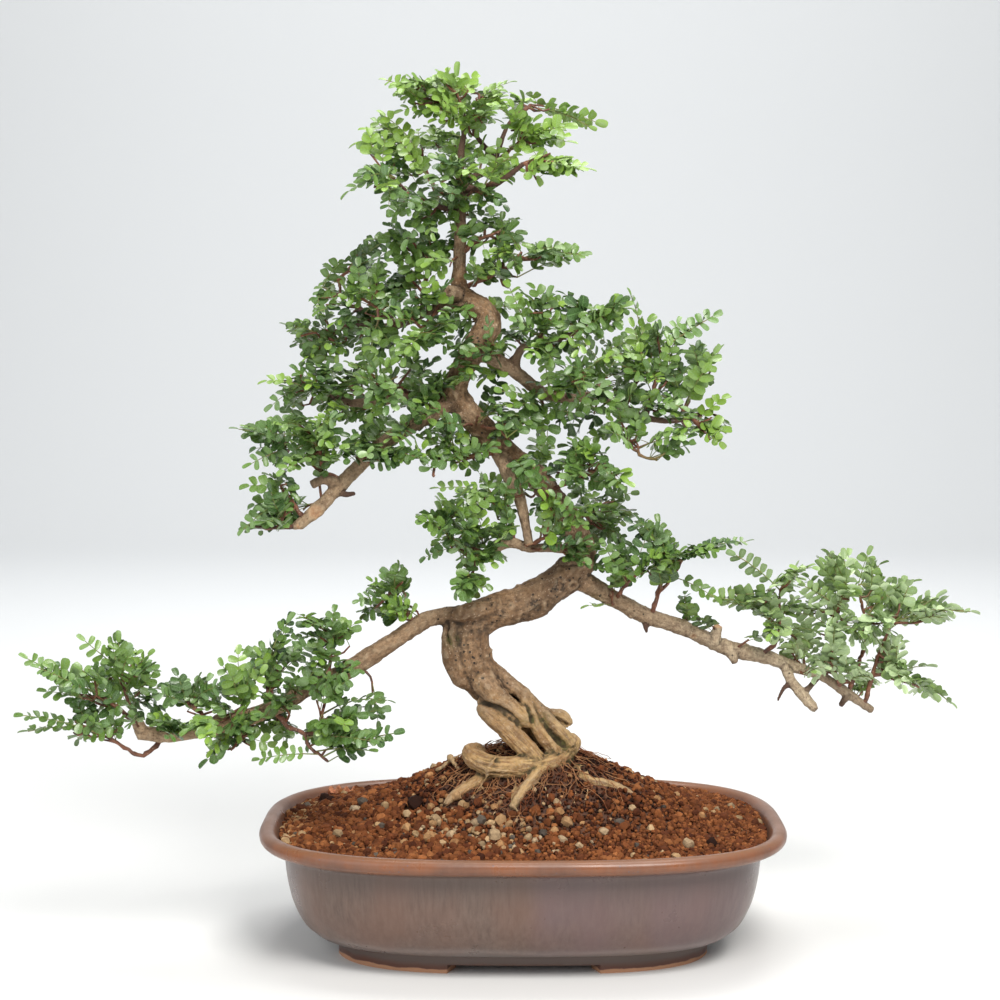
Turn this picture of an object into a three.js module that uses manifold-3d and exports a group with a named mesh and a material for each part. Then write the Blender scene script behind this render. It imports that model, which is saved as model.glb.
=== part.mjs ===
// A chinese pepper bonsai in an oval glazed pot, modelled as separate closed solids.
// Millimetres, +Z up. The origin is the middle of the pot on the table, and the front faces -Y.

import * as THREE from 'three';
import { mergeVertices } from 'three/addons/utils/BufferGeometryUtils.js';
import Module from 'manifold-3d';

const wasm = await Module();
wasm.setup();

// Driving dimensions of the pot
const POT_LENGTH = 382;
const POT_DEPTH = 282;
const POT_HEIGHT = 93;
const PLAN_POWER = 3;
const POT_SIDES = 32;
const WALL = 7;
const FOOT_HEIGHT = 6;
const FOOT_INSET = 53;
const FOOT_WIDTH = 17;
const FOOT_GAP_FRONT = 104;
const FOOT_GAP_SIDE = 60;
const FLOOR_TOP = 21;
const FLOOR_INSET = 56;
const DRAIN_RADIUS = 12;
const DRAIN_OFFSET = 62;

// Driving dimensions of what the pot holds
const CLEARANCE = 0.3;
const SCREEN_SIZE = 40;
const SCREEN_THICKNESS = 1.2;
const SCREEN_SLOTS = 4;
const SOIL_EDGE_TOP = 85;
const SOIL_EDGE_INSET = 13;
const MOUND_HEIGHT = 60;
const MOUND_CENTRE = [5, 8];
const MOUND_SPREAD = [108, 71, 95];
const GRAIN_RELIEF = 1.4;

// The front elevation is read from this eye, on the plane y = 0
const EYE = new THREE.Vector3(-17, -1500, 435);

// Driving dimensions of the leaves
const TWIG_RADII = [1.9, 1.1];
const BLADE_THICKNESS = 0.8;
const RIB_HALF_WIDTH = 0.7;
const LONG_LEAF = 66;
const LEAF_STALK_SHARE = 0.2;
const LEAF_ARCH = 0.1;

// Limbs and roots of the one piece of wood, as [x, z, depth, radius] along each
const LIMBS = {
  trunk: {
    sides: 8,
    points: [
      [12, 112, 2, 12], [5, 140, 0, 17], [-14, 173, 0, 17], [-25, 186, 0, 17], [-42, 207, 0, 17],
      [-44, 223, 0, 17], [-37, 236, 1, 15], [-20, 245, 2, 13], [-2, 249, 4, 12.5], [16, 259, 6, 13],
      [32, 270, 8, 12.5], [43, 284, 9, 10.5], [37, 304, 10, 9.5], [22, 328, 10, 9], [4, 348, 8, 9.5],
      [-17, 365, 4, 9.5], [-37, 386, 0, 9.5], [-49, 402, -4, 10], [-44, 421, -8, 8.5],
      [-33, 439, -10, 9.5], [-25, 452, -10, 10], [-28, 462, -8, 9], [-39, 470, -4, 8],
      [-46, 480, 0, 6.5], [-46, 496, 0, 5], [-45, 521, 0, 4.3], [-45, 550, 0, 4], [-45, 573, 0, 3],
      [-41, 599, 0, 1.8],
    ],
  },
  lower_left: {
    sides: 6,
    points: [
      [-36, 241, 0, 9], [-53, 241, -4, 7.5], [-68, 239, -8, 6], [-82, 231, -12, 6.3],
      [-97, 221, -18, 6.6], [-112, 211, -24, 6.8], [-130, 200, -30, 6.6], [-156, 188, -37, 5.8],
      [-178, 175, -42, 6], [-196, 168, -46, 6.2], [-215, 162, -50, 7], [-237, 157, -54, 6],
      [-259, 153, -58, 5.2], [-283, 154, -60, 5],
    ],
  },
  lower_left_knob: {
    sides: 5,
    points: [[-279, 154, -60, 4.5], [-284, 165, -62, 3.8], [-289, 174, -62, 3]],
  },
  lower_right: {
    sides: 6,
    points: [
      [37, 271, 8, 8], [57, 259, 13, 6.6], [73, 250, 18, 6.4], [93, 240, 23, 6.2],
      [115, 233, 29, 6], [130, 226, 33, 5.8], [146, 219, 38, 6], [163, 214, 43, 5.8],
      [178, 211, 47, 5.6], [192, 206, 51, 5.2], [207, 201, 55, 4.4], [220, 196, 58, 3.8],
      [231, 189, 61, 3.8], [242, 181, 64, 3.6], [257, 171, 68, 3.2],
    ],
  },
  lower_right_stub: {
    sides: 5,
    points: [[192, 206, 50, 4], [195, 197, 46, 4], [203, 186, 40, 4.2], [212, 176, 36, 3.6]],
  },
  middle_left: {
    sides: 5,
    points: [
      [45, 281, 8, 5], [33, 289, 2, 3.6], [20, 291, -4, 3.4], [5, 291, -9, 3.6],
      [-8, 295, -14, 4.2], [-19, 292, -18, 4], [-29, 283, -22, 3],
    ],
  },
  middle_stub: {
    sides: 5,
    points: [
      [-19, 361, 2, 5.5], [-9, 341, -10, 5.2], [-2, 326, -14, 4.6], [2, 308, -17, 3.8],
      [5, 293, -20, 3.4],
    ],
  },
  left: {
    sides: 6,
    points: [
      [-49, 399, -4, 7], [-64, 390, -10, 6], [-83, 379, -16, 5.6], [-104, 365, -22, 5.6],
      [-121, 349, -28, 5.2], [-135, 335, -34, 5], [-149, 320, -40, 4.8], [-164, 307, -46, 4],
    ],
  },
  left_stub: {
    sides: 5,
    points: [[-133, 337, -34, 4], [-144, 341, -38, 3.6], [-154, 337, -42, 3.4]],
  },
  left_end: {
    sides: 5,
    points: [[-160, 308, -45, 2.4], [-173, 306, -48, 1.6], [-190, 306, -50, 1.2], [-206, 309, -52, 1]],
  },
  left_high: {
    sides: 5,
    points: [
      [-49, 405, -4, 6], [-67, 405, 4, 4.6], [-86, 402, 12, 4.2], [-105, 398, 20, 4],
      [-126, 397, 26, 3.2], [-144, 405, 30, 2.4],
    ],
  },
  upper_left: {
    sides: 5,
    points: [
      [-33, 465, -8, 5], [-49, 468, -4, 3.8], [-64, 465, 4, 3.6], [-80, 458, 14, 3.4],
      [-95, 452, 24, 3.4], [-111, 451, 32, 2.8], [-125, 454, 38, 2],
    ],
  },
  upper_right: {
    sides: 6,
    points: [
      [-38, 434, -10, 6], [-24, 430, -12, 5.4], [-11, 423, -10, 5], [1, 414, -6, 5], [16, 403, 0, 4.8],
      [34, 400, 6, 4], [55, 402, 12, 3.6], [71, 395, 16, 3.4], [89, 386, 20, 2.8], [111, 384, 24, 2.2],
      [129, 389, 26, 1.8], [137, 392, 26, 1.6],
    ],
  },
  upper_right_front: {
    sides: 5,
    points: [
      [-6, 418, -8, 4], [-4, 431, -10, 3.2], [4, 439, -14, 2.8], [20, 441, -20, 2.4],
      [34, 446, -26, 2], [41, 451, -30, 1.6],
    ],
  },
  crown_right_low: {
    sides: 5,
    points: [[-45, 551, 0, 3.4], [-31, 551, -8, 2.8], [-17, 556, -16, 2.4], [1, 569, -26, 1.8]],
  },
  crown_right_mid: {
    sides: 5,
    points: [
      [-45, 553, 0, 3.4], [-32, 561, 6, 2.8], [-19, 568, 12, 2.4], [-27, 580, 10, 2],
      [-35, 590, 8, 1.7],
    ],
  },
  crown_right_high: {
    sides: 5,
    points: [[-21, 567, 12, 2.2], [-17, 580, 20, 2], [-11, 596, 26, 1.8], [1, 608, 32, 1.6]],
  },
  crown_left_low: {
    sides: 5,
    points: [[-46, 534, 0, 2.6], [-67, 540, -8, 1.8], [-80, 546, -14, 1.6], [-91, 556, -19, 1.4]],
  },
  crown_left_high: {
    sides: 5,
    points: [[-45, 531, 0, 3], [-56, 537, 7, 2.6], [-61, 543, 10, 2]],
  },
  root_front: {
    sides: 6,
    points: [
      [-25, 186, -6, 9], [-17, 167, -11, 9.5], [-2, 149, -14, 9], [14, 131, -14, 8],
      [24, 112, -10, 6],
    ],
  },
  root_middle: {
    sides: 6,
    points: [[-11, 184, -4, 7], [5, 167, -2, 6.5], [19, 151, 0, 6.5], [30, 136, 2, 6], [38, 116, 2, 5]],
  },
  root_back: {
    sides: 5,
    points: [[-4, 187, 8, 7], [11, 174, 12, 6], [25, 158, 14, 5.5], [35, 145, 14, 5.5], [38, 124, 14, 5]],
  },
  root_knob: {
    sides: 5,
    points: [[8, 178, 14, 4.5], [20, 171, 16, 5], [30, 164, 18, 5], [33, 159, 18, 4]],
  },
  root_loop: {
    sides: 6,
    points: [
      [36, 149, 8, 6], [29, 137, -6, 7], [13, 130, -20, 7.5], [-8, 128, -28, 7.5], [-27, 129, -30, 7.5],
      [-40, 133, -24, 6.5], [-44, 138, -12, 5.5], [-36, 140, 0, 5], [-26, 126, 8, 4.5],
    ],
  },
  root_low_front: {
    sides: 5,
    points: [
      [25, 134, -10, 4], [13, 124, -32, 4], [2, 113, -52, 3.8], [-7, 101, -68, 3.4],
      [-12, 90, -76, 3],
    ],
  },
  root_right: {
    sides: 5,
    points: [
      [36, 128, 6, 5], [57, 119, -14, 4.4], [74, 113, -26, 4.2], [90, 103, -34, 3.6],
      [102, 92, -40, 3],
    ],
  },
  root_left: {
    sides: 5,
    points: [
      [-22, 127, -26, 5], [-36, 116, -38, 4.4], [-50, 108, -48, 4.2], [-66, 98, -58, 3.4],
      [-76, 88, -64, 3],
    ],
  },
};

// Leafy twigs. wood: each branch as [x, z, depth] points.
// leaves: [branch, share along it, then x, z and depth of the leaf's tip].
const TWIGS = {
  crown_top: {
    wood: [[[-41, 597, 0], [-44, 608, -4], [-47, 618, -6]],
      [[-44, 608, -4], [-53, 611, 4], [-61, 613, 10]]],
    leaves: [[0, 1, -64, 635, -2], [0, 0.8, -32, 634, 4], [1, 1, -104, 629, 22]],
  },
  crown_high_right: {
    wood: [[[-35, 589, 8], [-35, 603, 8], [-32, 613, 8]]],
    leaves: [[0, 1, -4, 628, 0]],
  },
  crown_far_right: {
    wood: [[[1, 607, 32], [6, 611, 34]]],
    leaves: [[0, 1, 62, 602, 38], [0, 1, 9, 618, 34]],
  },
  crown_right: {
    wood: [[[-17, 571, 14], [-8, 580, 8], [1, 587, 4]]],
    leaves: [[0, 1, 39, 581, 2], [0, 0.9, 31, 594, -10]],
  },
  crown_low_right: {
    wood: [[[-1, 568, -24], [7, 571, -28]]],
    leaves: [[0, 1, 53, 563, -34], [0, 0.6, 14, 553, -24]],
  },
  crown_low_left: {
    wood: [[[-90, 556, -19], [-99, 561, -22]]],
    leaves: [[0, 1, -108, 568, -26], [0, 0.9, -132, 544, -34]],
  },
  crown_left: {
    wood: [[[-60, 539, 8], [-65, 554, 14], [-74, 571, 22], [-85, 580, 28]]],
    leaves: [[0, 1, -126, 581, 44], [0, 0.7, -106, 606, 22]],
  },
  crown_shoulder: {
    wood: [[[-44, 504, 0], [-34, 513, -2], [-17, 520, -6]]],
    leaves: [[0, 0.9, -1, 530, 8], [0, 0.6, -25, 501, -14]],
  },
  crown_front: {
    wood: [[[-45, 546, 0], [-47, 557, -18], [-49, 566, -32]]],
    leaves: [[0, 1, -25, 571, -44], [0, 0.7, -71, 559, -44]],
  },
  crown_back: {
    wood: [[[-45, 561, 0], [-47, 571, 20], [-51, 580, 40]]],
    leaves: [[0, 1, -71, 596, 62], [0, 1, -20, 599, 60], [0, 0.7, -38, 563, 72]],
  },
  upper_left_high: {
    wood: [[[-72, 462, 8], [-72, 480, 10], [-66, 496, 12], [-76, 508, 12]]],
    leaves: [[0, 1, -114, 514, 16], [0, 0.7, -54, 510, 26]],
  },
  upper_left_tip: {
    wood: [[[-109, 452, 31], [-116, 464, 26], [-129, 469, 28], [-134, 485, 32]]],
    leaves: [[0, 1, -144, 496, 38], [0, 0.6, -156, 471, 32]],
  },
  upper_left_end: {
    wood: [[[-124, 454, 37], [-134, 449, 40], [-146, 442, 38]]],
    leaves: [[0, 1, -177, 453, 36], [0, 1, -169, 437, 48]],
  },
  upper_left_mid: {
    wood: [[[-92, 452, 21], [-100, 462, 2], [-111, 469, -6]]],
    leaves: [[0, 1, -129, 481, -2], [0, 0.5, -83, 473, -22]],
  },
  upper_left_front: {
    wood: [[[-60, 465, 0], [-71, 453, -14], [-80, 444, -26]]],
    leaves: [[0, 1, -59, 441, -42], [0, 1, -94, 425, -40]],
  },
  upper_left_back: {
    wood: [[[-89, 453, 20], [-96, 457, 44], [-105, 464, 62]]],
    leaves: [[0, 1, -124, 449, 84], [0, 1, -93, 482, 80]],
  },
  left_high_end: {
    wood: [[[-142, 404, 30], [-151, 407, 28], [-160, 409, 24]]],
    leaves: [[0, 1, -193, 411, 18], [0, 1, -187, 390, 20]],
  },
  left_high_front: {
    wood: [[[-82, 402, 10], [-93, 410, -12], [-105, 415, -30]]],
    leaves: [[0, 1, -131, 426, -46], [0, 0.7, -122, 403, -50]],
  },
  left_high_back: {
    wood: [[[-104, 398, 20], [-115, 402, 45], [-125, 406, 62]]],
    leaves: [[0, 1, -149, 419, 82], [0, 1, -109, 428, 84]],
  },
  left_low: {
    wood: [[[-135, 342, -34], [-148, 348, -36], [-158, 357, -38], [-169, 365, -40]],
      [[-146, 347, -36], [-148, 362, -44], [-154, 373, -46]]],
    leaves: [[0, 1, -214, 378, -46], [0, 1, -204, 349, -54]],
  },
  left_tip: {
    wood: [[[-159, 311, -44], [-165, 320, -45], [-173, 333, -46]]],
    leaves: [[0, 0.8, -208, 300, -58], [0, 0.6, -202, 320, -40]],
  },
  left_under: {
    wood: [[[-15, 361, 4], [-38, 357, -14], [-63, 357, -24]]],
    leaves: [[0, 1, -114, 352, -34], [0, 0.9, -72, 377, -30]],
  },
  trunk_right: {
    wood: [[[-35, 381, 0], [-22, 378, -16], [-12, 381, -22]]],
    leaves: [[0, 1, -25, 400, -26]],
  },
  right_front_up: {
    wood: [[[12, 440, -16], [16, 453, -22], [18, 462, -24]]],
    leaves: [[0, 1, 21, 482, -28], [0, 1, 2, 484, -20]],
  },
  right_up: {
    wood: [[[38, 449, -30], [49, 455, -33], [56, 458, -35]]],
    leaves: [[0, 1, 59, 467, -40], [0, 0.5, 27, 435, -50]],
  },
  right_tall: {
    wood: [[[69, 396, 16], [81, 409, 14], [86, 421, 12], [85, 439, 12]]],
    leaves: [[0, 1, 75, 480, 14], [0, 0.6, 60, 434, -6]],
  },
  right_high: {
    wood: [[[89, 386, 20], [94, 402, 20], [97, 419, 20], [101, 436, 20]]],
    leaves: [[0, 1, 144, 463, 24], [0, 0.6, 72, 419, -8]],
  },
  right_end_up: {
    wood: [[[114, 384, 24], [121, 400, 26], [127, 415, 28]]],
    leaves: [[0, 1, 147, 438, 30]],
  },
  right_end_low: {
    wood: [[[123, 386, 25], [127, 381, 20], [130, 377, 16]]],
    leaves: [[0, 1, 148, 364, 12], [0, 0.5, 151, 403, 26]],
  },
  right_hanging: {
    wood: [[[85, 387, 19], [76, 373, 4], [85, 359, -6], [98, 355, -10]]],
    leaves: [[0, 1, 127, 374, -14], [0, 0.4, 56, 377, 0]],
  },
  right_under: {
    wood: [[[9, 407, -2], [14, 397, -4], [18, 387, -6]]],
    leaves: [[0, 1, 17, 358, -8], [0, 0.8, 45, 387, -20]],
  },
  right_front: {
    wood: [[[31, 400, 4], [38, 410, -22], [45, 419, -44]]],
    leaves: [[0, 1, 72, 428, -64], [0, 0.7, 65, 400, -56]],
  },
  right_back: {
    wood: [[[56, 402, 12], [55, 413, 40], [56, 426, 62]]],
    leaves: [[0, 1, 38, 446, 80], [0, 1, 83, 447, 86], [0, 0.6, 89, 412, 78]],
  },
  middle_right: {
    wood: [[[11, 333, 9], [27, 336, 2], [49, 345, -10], [58, 355, -16]]],
    leaves: [[0, 0.6, 74, 335, -22]],
  },
  middle_front: {
    wood: [[[-2, 292, -11], [13, 297, -20], [27, 306, -26], [38, 312, -28]]],
    leaves: [[0, 1, 18, 333, -36], [0, 0.9, 48, 303, -46]],
  },
  middle_back: {
    wood: [[[33, 311, 10], [45, 315, 35], [56, 322, 55]]],
    leaves: [[0, 1, 85, 332, 72], [0, 1, 36, 339, 76], [0, 0.6, 69, 303, 62]],
  },
  middle_left: {
    wood: [[[-28, 284, -21], [-40, 287, -26], [-56, 303, -34]],
      [[-36, 285, -25], [-36, 276, -28], [-39, 270, -30]]],
    leaves: [[0, 1, -79, 313, -42], [1, 0.9, -22, 260, -40]],
  },
  middle_left_up: {
    wood: [[[-8, 295, -14], [-8, 306, -16], [-13, 320, -18], [-24, 330, -18]]],
    leaves: [[0, 1, -68, 333, -24], [0, 0.6, -8, 343, -34]],
  },
  right_fork: {
    wood: [[[95, 244, 19], [98, 254, 16], [103, 273, 13], [105, 284, 12]],
      [[100, 259, 15], [108, 267, 12], [118, 284, 8]]],
    leaves: [[1, 1, 169, 295, 4], [1, 0.5, 146, 250, -2]],
  },
  junction: {
    wood: [[[69, 254, 13], [73, 261, 8], [83, 271, 2]]],
    leaves: [[0, 1, 93, 304, -6], [0, 0.6, 56, 298, -12]],
  },
  far_right_first: {
    wood: [[[177, 214, 43], [186, 222, 42], [188, 238, 40], [188, 260, 36]]],
    leaves: [[0, 1, 149, 289, 32], [0, 0.6, 133, 255, 26]],
  },
  far_right_second: {
    wood: [[[222, 197, 58], [228, 216, 56], [229, 236, 54], [236, 264, 50]]],
    leaves: [[0, 1, 218, 291, 46], [0, 0.5, 196, 244, 44]],
  },
  far_right_third: {
    wood: [[[239, 185, 63], [247, 207, 62], [251, 231, 60], [245, 261, 56]]],
    leaves: [[0, 1, 255, 292, 54], [0, 0.7, 292, 267, 60]],
  },
  far_right_fourth: {
    wood: [[[251, 177, 65], [256, 194, 66], [262, 216, 66], [270, 236, 66]],
      [[258, 197, 66], [266, 197, 66], [275, 194, 67]]],
    leaves: [[0, 1, 335, 243, 66], [0, 0.6, 284, 223, 54], [1, 1, 319, 172, 68]],
  },
  far_right_front: {
    wood: [[[233, 188, 61], [230, 197, 48], [227, 205, 38]]],
    leaves: [[0, 1, 212, 191, 32], [0, 1, 253, 203, 34]],
  },
  far_left_low: {
    wood: [
      [[-265, 150, -56], [-274, 141, -60], [-283, 138, -63], [-300, 148, -68], [-329, 163, -72]]],
    leaves: [[0, 0.75, -374, 168, -80], [0, 0.75, -371, 153, -70]],
  },
  far_left_end: {
    wood: [[[-286, 164, -62], [-297, 173, -64], [-310, 180, -66], [-323, 180, -68]]],
    leaves: [[0, 1, -370, 212, -72], [0, 0.6, -328, 207, -76]],
  },
  far_left_up: {
    wood: [[[-279, 154, -60], [-290, 179, -56], [-295, 201, -52]]],
    leaves: [[0, 1, -326, 227, -46], [0, 0.6, -269, 216, -64]],
  },
  lower_left_third: {
    wood: [[[-225, 160, -51], [-235, 168, -54], [-247, 175, -56]]],
    leaves: [[0, 1, -275, 186, -66], [0, 0.5, -233, 195, -46]],
  },
  lower_left_second: {
    wood: [[[-213, 164, -49], [-205, 174, -46], [-207, 186, -44]]],
    leaves: [[0, 1, -223, 210, -48], [0, 0.6, -187, 205, -56]],
  },
  lower_left_first: {
    wood: [[[-185, 171, -43], [-187, 186, -37], [-185, 200, -32]]],
    leaves: [[0, 1, -169, 244, -26], [0, 0.6, -163, 212, -20]],
  },
  lower_left_mid: {
    wood: [[[-144, 194, -34], [-141, 208, -32], [-140, 222, -30]]],
    leaves: [[0, 1, -137, 250, -28], [0, 1, -118, 233, -38]],
  },
  lower_left_near: {
    wood: [[[-80, 236, -12], [-87, 247, -14], [-96, 253, -16], [-102, 257, -18]]],
    leaves: [[0, 0.7, -93, 282, -18]],
  },
  hanging: {
    wood: [
      [[-181, 169, -42], [-172, 159, -46], [-161, 154, -50], [-157, 145, -54], [-143, 133, -60]],
      [[-161, 154, -50], [-147, 155, -51], [-148, 167, -48], [-141, 186, -44]]],
    leaves: [[0, 0.8, -106, 140, -74], [1, 0.6, -93, 177, -58]],
  },
  lower_left_under: {
    wood: [[[-200, 166, -46], [-206, 153, -50], [-211, 145, -54]]],
    leaves: [[0, 1, -239, 129, -58], [0, 0.6, -180, 146, -42]],
  },
};

const COLOURS = {
  glaze: 0x6f625c,
  soil: 0x6b3d22,
  screen: 0x202020,
  bark: 0x8a7458,
  leaves: [0x4f7f35, 0x5d8c3c, 0x6b9a45, 0x86b046],
};

// A point of the front elevation, pushed back along its line of sight to its depth
function seen([x, z, depth]) {
  const spread = 1 - depth / EYE.y;
  return new THREE.Vector3(EYE.x + (x - EYE.x) * spread, depth, EYE.z + (z - EYE.z) * spread);
}

// Repeatable numbers from 0 to 1
function makeRandom(seed) {
  let state = seed >>> 0;
  return () => {
    state = (Math.imul(state, 1664525) + 1013904223) >>> 0;
    return state / 4294967296;
  };
}

// A closed geometry as a solid with its faces turned outwards
function solidOf(geometry) {
  const bare = geometry.index ? geometry.toNonIndexed() : geometry.clone();
  bare.deleteAttribute('normal');
  bare.deleteAttribute('uv');
  const merged = mergeVertices(bare, 1e-4);
  const place = merged.attributes.position;
  const corners = [];
  let volume = 0;
  for (let i = 0; i < merged.index.count; i += 3) {
    const [a, b, c] = [0, 1, 2].map((k) => merged.index.getX(i + k));
    if (a === b || b === c || c === a) continue;
    const [pa, pb, pc] = [a, b, c].map((k) => new THREE.Vector3().fromBufferAttribute(place, k));
    volume += pa.dot(pb.cross(pc));
    corners.push(a, b, c);
  }
  if (volume < 0) corners.reverse();
  return new wasm.Manifold(new wasm.Mesh({
    numProp: 3,
    vertProperties: new Float32Array(place.array),
    triVerts: new Uint32Array(corners),
  }));
}

// A solid as a named mesh with its own material
function meshOf(name, solid, color, roughness) {
  const { vertProperties, triVerts } = solid.getMesh();
  const geometry = new THREE.BufferGeometry();
  geometry.setAttribute('position', new THREE.BufferAttribute(new Float32Array(vertProperties), 3));
  geometry.setIndex(new THREE.BufferAttribute(new Uint32Array(triVerts), 1));
  geometry.computeVertexNormals();
  const material = new THREE.MeshStandardMaterial({ color, roughness, metalness: 0 });
  const mesh = new THREE.Mesh(geometry, material);
  mesh.name = name;
  return mesh;
}

// The largest of the bodies that a cut leaves
function largestBody(solid) {
  const bodies = solid.decompose();
  return bodies.reduce((best, body) => (body.volume() > best.volume() ? body : best));
}

// A solid of oval rings, from rows of [half length, half depth, height]
function ovalSolid(rows, heightAt = null) {
  const profile = rows.map(([halfLength, , z]) => new THREE.Vector2(halfLength, z));
  const geometry = new THREE.LatheGeometry(profile, POT_SIDES);
  const place = geometry.attributes.position;
  const power = 2 / PLAN_POWER;
  for (let i = 0; i < place.count; i += 1) {
    const [halfLength, halfDepth, z] = rows[i % rows.length];
    const turn = (Math.floor(i / rows.length) % POT_SIDES) * (2 * Math.PI / POT_SIDES);
    const [across, back] = [Math.cos(turn), Math.sin(turn)];
    const x = halfLength * Math.sign(across) * Math.abs(across) ** power;
    const y = halfDepth * Math.sign(back) * Math.abs(back) ** power;
    place.setXYZ(i, x, y, heightAt && z === null ? heightAt(x, y) : z);
  }
  return solidOf(geometry);
}

// Rows of a section given as [inset from the rim, height], the same inset all round
function insetRows(section) {
  return section.map(([inset, z]) => [POT_LENGTH / 2 - inset, POT_DEPTH / 2 - inset, z]);
}

// The inside of the pot, from the floor up to the rim
const CAVITY = [
  [FLOOR_INSET, FLOOR_TOP], [45, 23], [26 + WALL, 36], [21 + WALL, 50], [18 + WALL, 74], [13, 86],
];

function potSolid() {
  const body = ovalSolid([
    [0, 0, FOOT_HEIGHT],
    ...insetRows([
      [FOOT_INSET, FOOT_HEIGHT], [FOOT_INSET, 14], [41, 16], [31, 25], [23, 42], [19, 62], [18, 77],
      [7, 81.5], [1.5, 84.5], [0, 88], [2, 91.5], [6, POT_HEIGHT], [10, 91],
      ...CAVITY.toReversed(),
    ]),
    [0, 0, FLOOR_TOP],
  ]);
  const inner = FOOT_INSET + FOOT_WIDTH;
  const top = FOOT_HEIGHT + 2;
  const ring = ovalSolid(insetRows([
    [FOOT_INSET + 0.4, 0], [FOOT_INSET, top], [inner, top], [inner - 0.4, 0], [FOOT_INSET + 0.4, 0],
  ]));
  const frontGap = solidOf(new THREE.BoxGeometry(FOOT_GAP_FRONT, POT_DEPTH, 3 * FOOT_HEIGHT));
  const sideGap = solidOf(new THREE.BoxGeometry(POT_LENGTH, FOOT_GAP_SIDE, 3 * FOOT_HEIGHT));
  const feet = ring.subtract(frontGap).subtract(sideGap);
  let pot = body.add(feet);
  for (const side of [-1, 1]) {
    const drill = new THREE.CylinderGeometry(DRAIN_RADIUS, DRAIN_RADIUS, 3 * FLOOR_TOP, 16);
    drill.rotateX(Math.PI / 2).translate(side * DRAIN_OFFSET, 0, 0);
    pot = pot.subtract(solidOf(drill));
  }
  return pot;
}

// A plastic screen with slots, over one drain hole
function screenSolid(side) {
  const middle = FLOOR_TOP + CLEARANCE + SCREEN_THICKNESS / 2;
  const sheet = new THREE.BoxGeometry(SCREEN_SIZE, SCREEN_SIZE, SCREEN_THICKNESS);
  let screen = solidOf(sheet.translate(side * DRAIN_OFFSET, 0, middle));
  const pitch = SCREEN_SIZE / (SCREEN_SLOTS + 1);
  for (let k = 1; k <= SCREEN_SLOTS; k += 1) {
    const slot = new THREE.BoxGeometry(pitch / 2, SCREEN_SIZE * 0.7, 3 * SCREEN_THICKNESS);
    slot.translate(side * DRAIN_OFFSET - SCREEN_SIZE / 2 + k * pitch, 0, middle);
    screen = screen.subtract(solidOf(slot));
  }
  return screen;
}

// Height of the mounded soil, with its grains as low relief
function soilHeight(x, y) {
  const [spreadAcross, spreadFront, spreadBack] = MOUND_SPREAD;
  const across = (x - MOUND_CENTRE[0]) / spreadAcross;
  const back = (y - MOUND_CENTRE[1]) / (y < MOUND_CENTRE[1] ? spreadFront : spreadBack);
  const grain = GRAIN_RELIEF * Math.sin(x * 0.37 + y * 0.21) * Math.cos(y * 0.43 - x * 0.17);
  return SOIL_EDGE_TOP + MOUND_HEIGHT * Math.exp(-across * across - back * back) + grain;
}

function soilSolid(wideWood) {
  const gap = CLEARANCE * 1.4;
  const wall = insetRows(CAVITY.map(([inset, z]) => [inset + gap, z])).slice(1);
  const edge = POT_LENGTH / 2 - SOIL_EDGE_INSET - gap - 1;
  const edgeDepth = POT_DEPTH / 2 - SOIL_EDGE_INSET - gap - 1;
  const shares = [0.96, 0.84, 0.7, 0.56, 0.43, 0.3, 0.16, 0];
  let soil = ovalSolid([
    [0, 0, FLOOR_TOP + CLEARANCE],
    ...insetRows([[FLOOR_INSET + gap, FLOOR_TOP + CLEARANCE]]),
    ...wall,
    ...shares.map((share) => [edge * share, edgeDepth * share, null]),
  ], soilHeight);
  for (const side of [-1, 1]) {
    const size = SCREEN_SIZE + 2 * CLEARANCE;
    const pocket = new THREE.BoxGeometry(size, size, 2 * (SCREEN_THICKNESS + CLEARANCE));
    pocket.translate(side * DRAIN_OFFSET, 0, FLOOR_TOP + CLEARANCE);
    soil = soil.subtract(solidOf(pocket));
  }
  return largestBody(soil.subtract(wideWood));
}

// Centres and cross directions of a tube's rings, carried along the curve without a twist
function ringsAlong(curve, count) {
  const rings = [];
  const upright = Math.abs(curve.getTangent(0).z) > 0.9;
  let side = upright ? new THREE.Vector3(1, 0, 0) : new THREE.Vector3(0, 0, 1);
  for (let k = 0; k <= count; k += 1) {
    const ahead = curve.getTangent(k / count);
    side = side.clone().addScaledVector(ahead, -side.dot(ahead)).normalize();
    rings.push({ centre: curve.getPoint(k / count), ahead, side, over: ahead.clone().cross(side) });
  }
  return rings;
}

// A closed tube through the points: a cylinder bent onto their curve, grown by extra all over
function tubeSolid(points, radii, sides, extra = 0) {
  const stretches = points.length - 1;
  const rings = ringsAlong(new THREE.CatmullRomCurve3(points), stretches);
  const geometry = new THREE.CylinderGeometry(1, 1, 1, sides, stretches);
  const place = geometry.attributes.position;
  for (let i = 0; i < place.count; i += 1) {
    const step = Math.round((0.5 - place.getY(i)) * stretches);
    const { centre, ahead, side, over } = rings[step];
    const radius = radii[step] + extra / Math.cos(Math.PI / sides);
    const end = step === 0 ? -extra : Number(step === stretches) * extra;
    const spot = centre.clone().addScaledVector(ahead, end);
    spot.addScaledVector(side, place.getX(i) * radius).addScaledVector(over, place.getZ(i) * radius);
    place.setXYZ(i, spot.x, spot.y, spot.z);
  }
  return solidOf(geometry);
}

// The trunk, limbs and roots joined into one piece of wood
function woodSolid(extra = 0) {
  const tubes = Object.values(LIMBS).map(({ sides, points }) => (
    tubeSolid(points.map(seen), points.map((point) => point[3]), sides, extra)
  ));
  return wasm.Manifold.union(tubes);
}

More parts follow.
